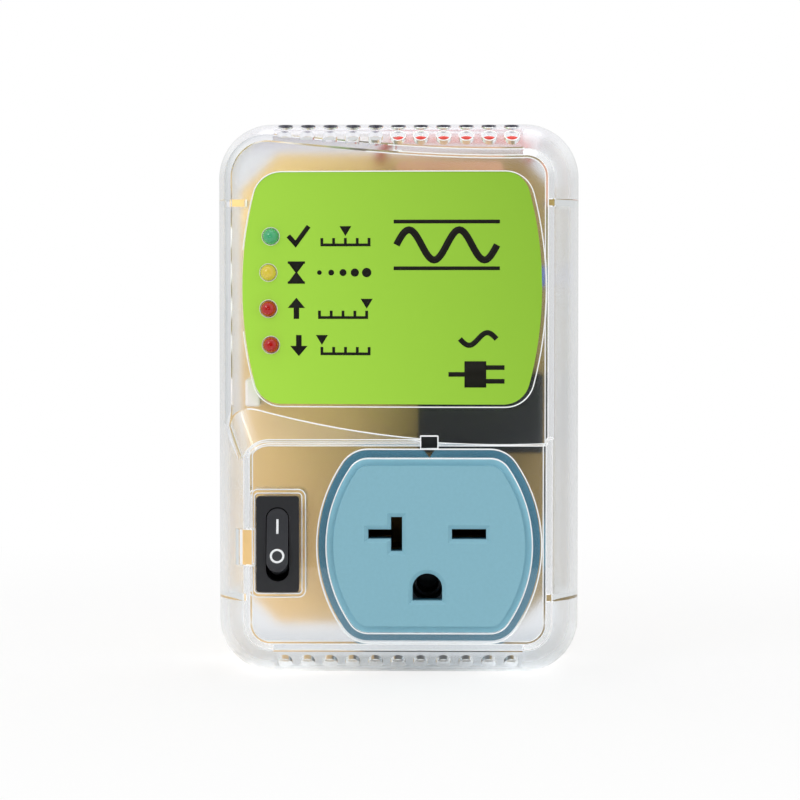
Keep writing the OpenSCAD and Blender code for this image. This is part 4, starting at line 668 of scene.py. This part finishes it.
def on_rocker(flat):
    """Points across and up the rocker's face, in mm: on its hollow, which has one radius, and then turned by
    the rest tilt."""
    up = flat[..., 1]
    out = face_height - dish_depth + dish_radius - np.sqrt(dish_radius ** 2 - up ** 2)
    turned_up = up * math.cos(rest_tilt) + out * math.sin(rest_tilt)
    turned_out = out * math.cos(rest_tilt) - up * math.sin(rest_tilt)
    return np.stack([pivot[0] + flat[..., 0], pivot[1] - turned_out, pivot[2] + turned_up], axis=-1) * MM


ink, tree, shader = material("white_pad_ink", "#f2f4f6", Roughness=0.5)
grained(tree, shader, "#f6f8fa", "#eceef0", 0.3, 0.004)
rocker_marks = [ribbon([(0, 1.4), (0, 4.6)], 0.5), disc((0, -3.5), 1.6, inner=1.12)]
printed("rocker_marks", rocker_marks, on_rocker, (0, -1, 0), ink, "rocker")
copper, tree, shader = material("rolled_copper", "#b87348", Metallic=1.0, Roughness=0.3)
grained(tree, shader, "#c07b50", "#a8653c", 0.3, 0.005)
finish("switch_lever", copper)
softened("switch_lever", 0.05)

# Lamps: tinted epoxy domes that stand out of the label.
# Each is cast around its two legs, which are soldered to the board and run in a white sleeve.
for node, colour in (
    ("led_green", "#45ab74"),
    ("led_amber", "#dcc63e"),
    ("led_red_high", "#b20a05"),
    ("led_red_low", "#b20a05"),
):
    lens, tree, shader = material("epoxy_of_" + node, colour, Roughness=0.08, Coat_Weight=0.3, Coat_IOR=1.5)
    shader.inputs["Subsurface Weight"].default_value = 0.15
    shader.inputs["Subsurface Radius"].default_value = (0.0008, 0.0008, 0.0008)
    grained(tree, shader, colour, colour, 1.2, 0.0)
    finish(node, lens)
    softened(node, 0.1)

# Front cover: clear polycarbonate with a faintly textured inside, which blurs what lies deeper.
# It is injection moulded in one piece and closes on the rear cover. White beads along its sharp edges are
# painted highlights.
front_plastic, tree, shader = clear("polycarbonate_front", "#fafcff", 0.02, 0.26)
finish("front_cover", front_plastic)
# Painted highlight: the beads along the front's sharp edges are a near-white paint that stands for their
# gleam.
edge_highlight_paint, tree, shader = material("painted_edge_highlight", "#fbfbfd", Roughness=0.15, Coat_Weight=1.0)
grained(tree, shader, "#ffffff", "#f2f3f6", 1.5, 0.01)
bead_radius, sharp_from = 0.14, math.radians(28)
rim_up, rim_across, shoulder_radius, parting = 0.0549, 0.0342, 0.0167, -0.0342
front_from, right_vents_from, mouth_room = -0.040, -0.002, 0.0003


def on_front(x0, y0, z0, x1, y1, z1):
    """Keeps the edges that the front shows, from their ends in metres: those inside the rims, and the outer
    mouths of the upper vents at the right, which are as far from the shoulder's axis as its outside is."""
    if max(y0, y1) > front_from:
        return False
    axis_up = cad_high.z - shoulder_radius
    out = [math.hypot(z - axis_up, y - parting) for y, z in ((y0, z0), (y1, z1))]
    mouth = x0 > right_vents_from and z0 > rim_up and min(out) > shoulder_radius - mouth_room
    return mouth or (max(abs(z0), abs(z1)) < rim_up and max(abs(x0), abs(x1)) < rim_across)


sharp_edges("front_cover", "cover_painted_highlights", sharp_from, bead_radius, edge_highlight_paint, on_front)

# Label: a lime film with a satin face, printed with plain picture marks.
# It is cut to shape and stuck on the upper deck, and painted shade darkens its green to the right and to the
# top.
label_low, label_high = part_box("label_panel")
label_film, tree, shader = material("printed_film", "#9dd236", Roughness=0.4)
place = grained(tree, shader, "#a2d249", "#9ece45", 6.0, 0.002)
# Painted shade: the green goes from light at the lower left to dark at the upper right, as the light falls.
axes = add(tree, "SeparateXYZ", {0: place.outputs["Object"]})
to_right = add(tree, "MapRange", {0: axes.outputs["X"], 1: label_low.x, 2: label_high.x, 3: 0.0, 4: 0.8})
to_top = add(tree, "MapRange", {0: axes.outputs["Z"], 1: label_low.z, 2: label_high.z, 3: 0.0, 4: 0.2})
share = add(tree, "Math", {0: to_right.outputs[0], 1: to_top.outputs[0]}, operation="ADD")
painted_shade_tone = add(tree, "Mix", {0: share.outputs[0]}, data_type="RGBA")
painted_shade_tone.inputs[6].default_value = linear("#abe33f")
painted_shade_tone.inputs[7].default_value = linear("#8ec22a")
tree.links.new(painted_shade_tone.outputs[2], shader.inputs["Base Color"])
finish("label_panel", label_film)
softened("label_panel", 0.05)

# Print of the label: plain picture marks in near-black ink, beside each lamp and in two larger places.
# It is one thin layer, and around each lamp a pale ring is a painted highlight, where the edge of the hole
# catches light.
deck_radius, deck_crown = 333.0, 22.5


def on_label(flat):
    """Points across and up the label, in mm, on its cylinder: the depth falls from the crown line as a
    circle does."""
    fall = deck_radius - np.sqrt(deck_radius ** 2 - (flat[..., 0] - deck_crown) ** 2)
    return np.stack([flat[..., 0], label_low.y / MM + fall - 0.01, flat[..., 1]], axis=-1) * MM


def gauge(pointer):
    """Scale of five strokes with a triangle over one place, beside a lamp: pointer runs from -1 to 1."""
    half, middle, foot, rise, stroke = 5.2, 16.5, -1.9, 1.5, 0.6
    strokes = [ribbon([(middle - half - 0.3, foot), (middle + half + 0.3, foot)], stroke)]
    for k in np.linspace(-1, 1, 5):
        strokes.append(ribbon([(middle + half * k, foot), (middle + half * k, foot + rise)], stroke))
    tip = middle + half * pointer
    return strokes + [ribbon([(tip, 2.2), (tip, 0.1)], (2.6, 0.05))]


check_mark = [ribbon([(3.9, 0.1), (5.5, -1.7), (8.4, 2.2)], 1.0)]
hourglass = [ribbon([(6.2, 2.0), (6.2, 0), (6.2, -2.0)], (3.4, 0.4, 3.4))]
hourglass += [ribbon([(4.3, side * 2.2), (8.1, side * 2.2)], 0.5) for side in (-1, 1)]
hourglass += [disc((11.3 + 2.6 * k, 0), 0.5 + 0.13 * k) for k in range(5)]
arrow = [ribbon([(6.2, -2.2), (6.2, 0.3)], 1.2), ribbon([(6.2, 0.2), (6.2, 2.4)], (3.8, 0.05))]
upside_down = np.array([1, -1])
beside_lamps = {
    "led_green": check_mark + gauge(0),
    "led_amber": hourglass,
    "led_red_high": arrow + gauge(1),
    "led_red_low": [flat * upside_down for flat in arrow] + gauge(-1),
}
marks, lamp_ring_highlights = [], []
ring_highlight_radius, lamp_radius = 2.03, 1.9
for node, flats in beside_lamps.items():
    low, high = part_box(node)
    centre = np.array([(low.x + high.x) / 2, (low.z + high.z) / 2]) / MM
    marks += [flat + centre for flat in flats]
    lamp_ring_highlights.append(disc(centre, ring_highlight_radius, inner=lamp_radius, parts=48))
wave_centre, wave_half, wave_height, line_up = np.array([10.7, 34.1]), 11.0, 3.3, 5.1
run = np.linspace(-1, 1, 49)
wave = np.stack([wave_half * run, wave_height * np.sin(2 * math.pi * run)], axis=-1)
marks += [ribbon(wave + wave_centre, 1.5, parts=2)]
for z in (-line_up, line_up):
    marks.append(ribbon(np.array([(-wave_half - 0.6, z), (wave_half + 0.6, z)]) + wave_centre, 0.8))
plug_centre, plug_scale = np.array([17.6, 8.8]), 1.25
small_wave = np.stack([3.2 * run, 3.8 + 1.1 * np.sin(math.pi * run)], axis=-1)
level = -2.4
plug_mark = [ribbon(small_wave, 0.9, parts=2), ribbon([(-5.2, level), (-2.4, level)], 0.8)]
plug_mark += [ribbon([(-2.4, level), (1.4, level)], 4.6)]
plug_mark += [ribbon([(1.3, level + side * 1.2), (4.6, level + side * 1.2)], 0.8) for side in (-1, 1)]
marks += [plug_scale * flat + plug_centre for flat in plug_mark]
label_ink, tree, shader = material("near_black_ink", "#14130a", Roughness=0.55, Specular_IOR_Level=0.2)
grained(tree, shader, "#17160c", "#100f07", 0.4, 0.002)
printed("label_marks", marks, on_label, (0, -1, 0), label_ink, "unit")
# Painted highlight: a pale ring on the film around each lamp.
ring_highlight_paint, tree, shader = material("painted_ring_highlight", "#eef3dc", Roughness=0.5)
grained(tree, shader, "#f2f6e2", "#e6ebd4", 0.5, 0.002)
printed("label_ring_highlights", lamp_ring_highlights, on_label, (0, -1, 0), ring_highlight_paint, "unit", thick_mm=0.05)

# Glue: a pale dab that stands between the board and the upper deck.
# It is hot-melt glue, laid on warm, and it sets cloudy.
glue, tree, shader = material("hot_glue", "#e0d9d2", Roughness=0.35, Subsurface_Weight=0.3)
shader.inputs["Subsurface Radius"].default_value = (0.003, 0.003, 0.0025)
grained(tree, shader, "#e6e0da", "#d6cdc6", 1.5, 0.05)
finish("glue_dab", glue)
softened("glue_dab", 0.6)
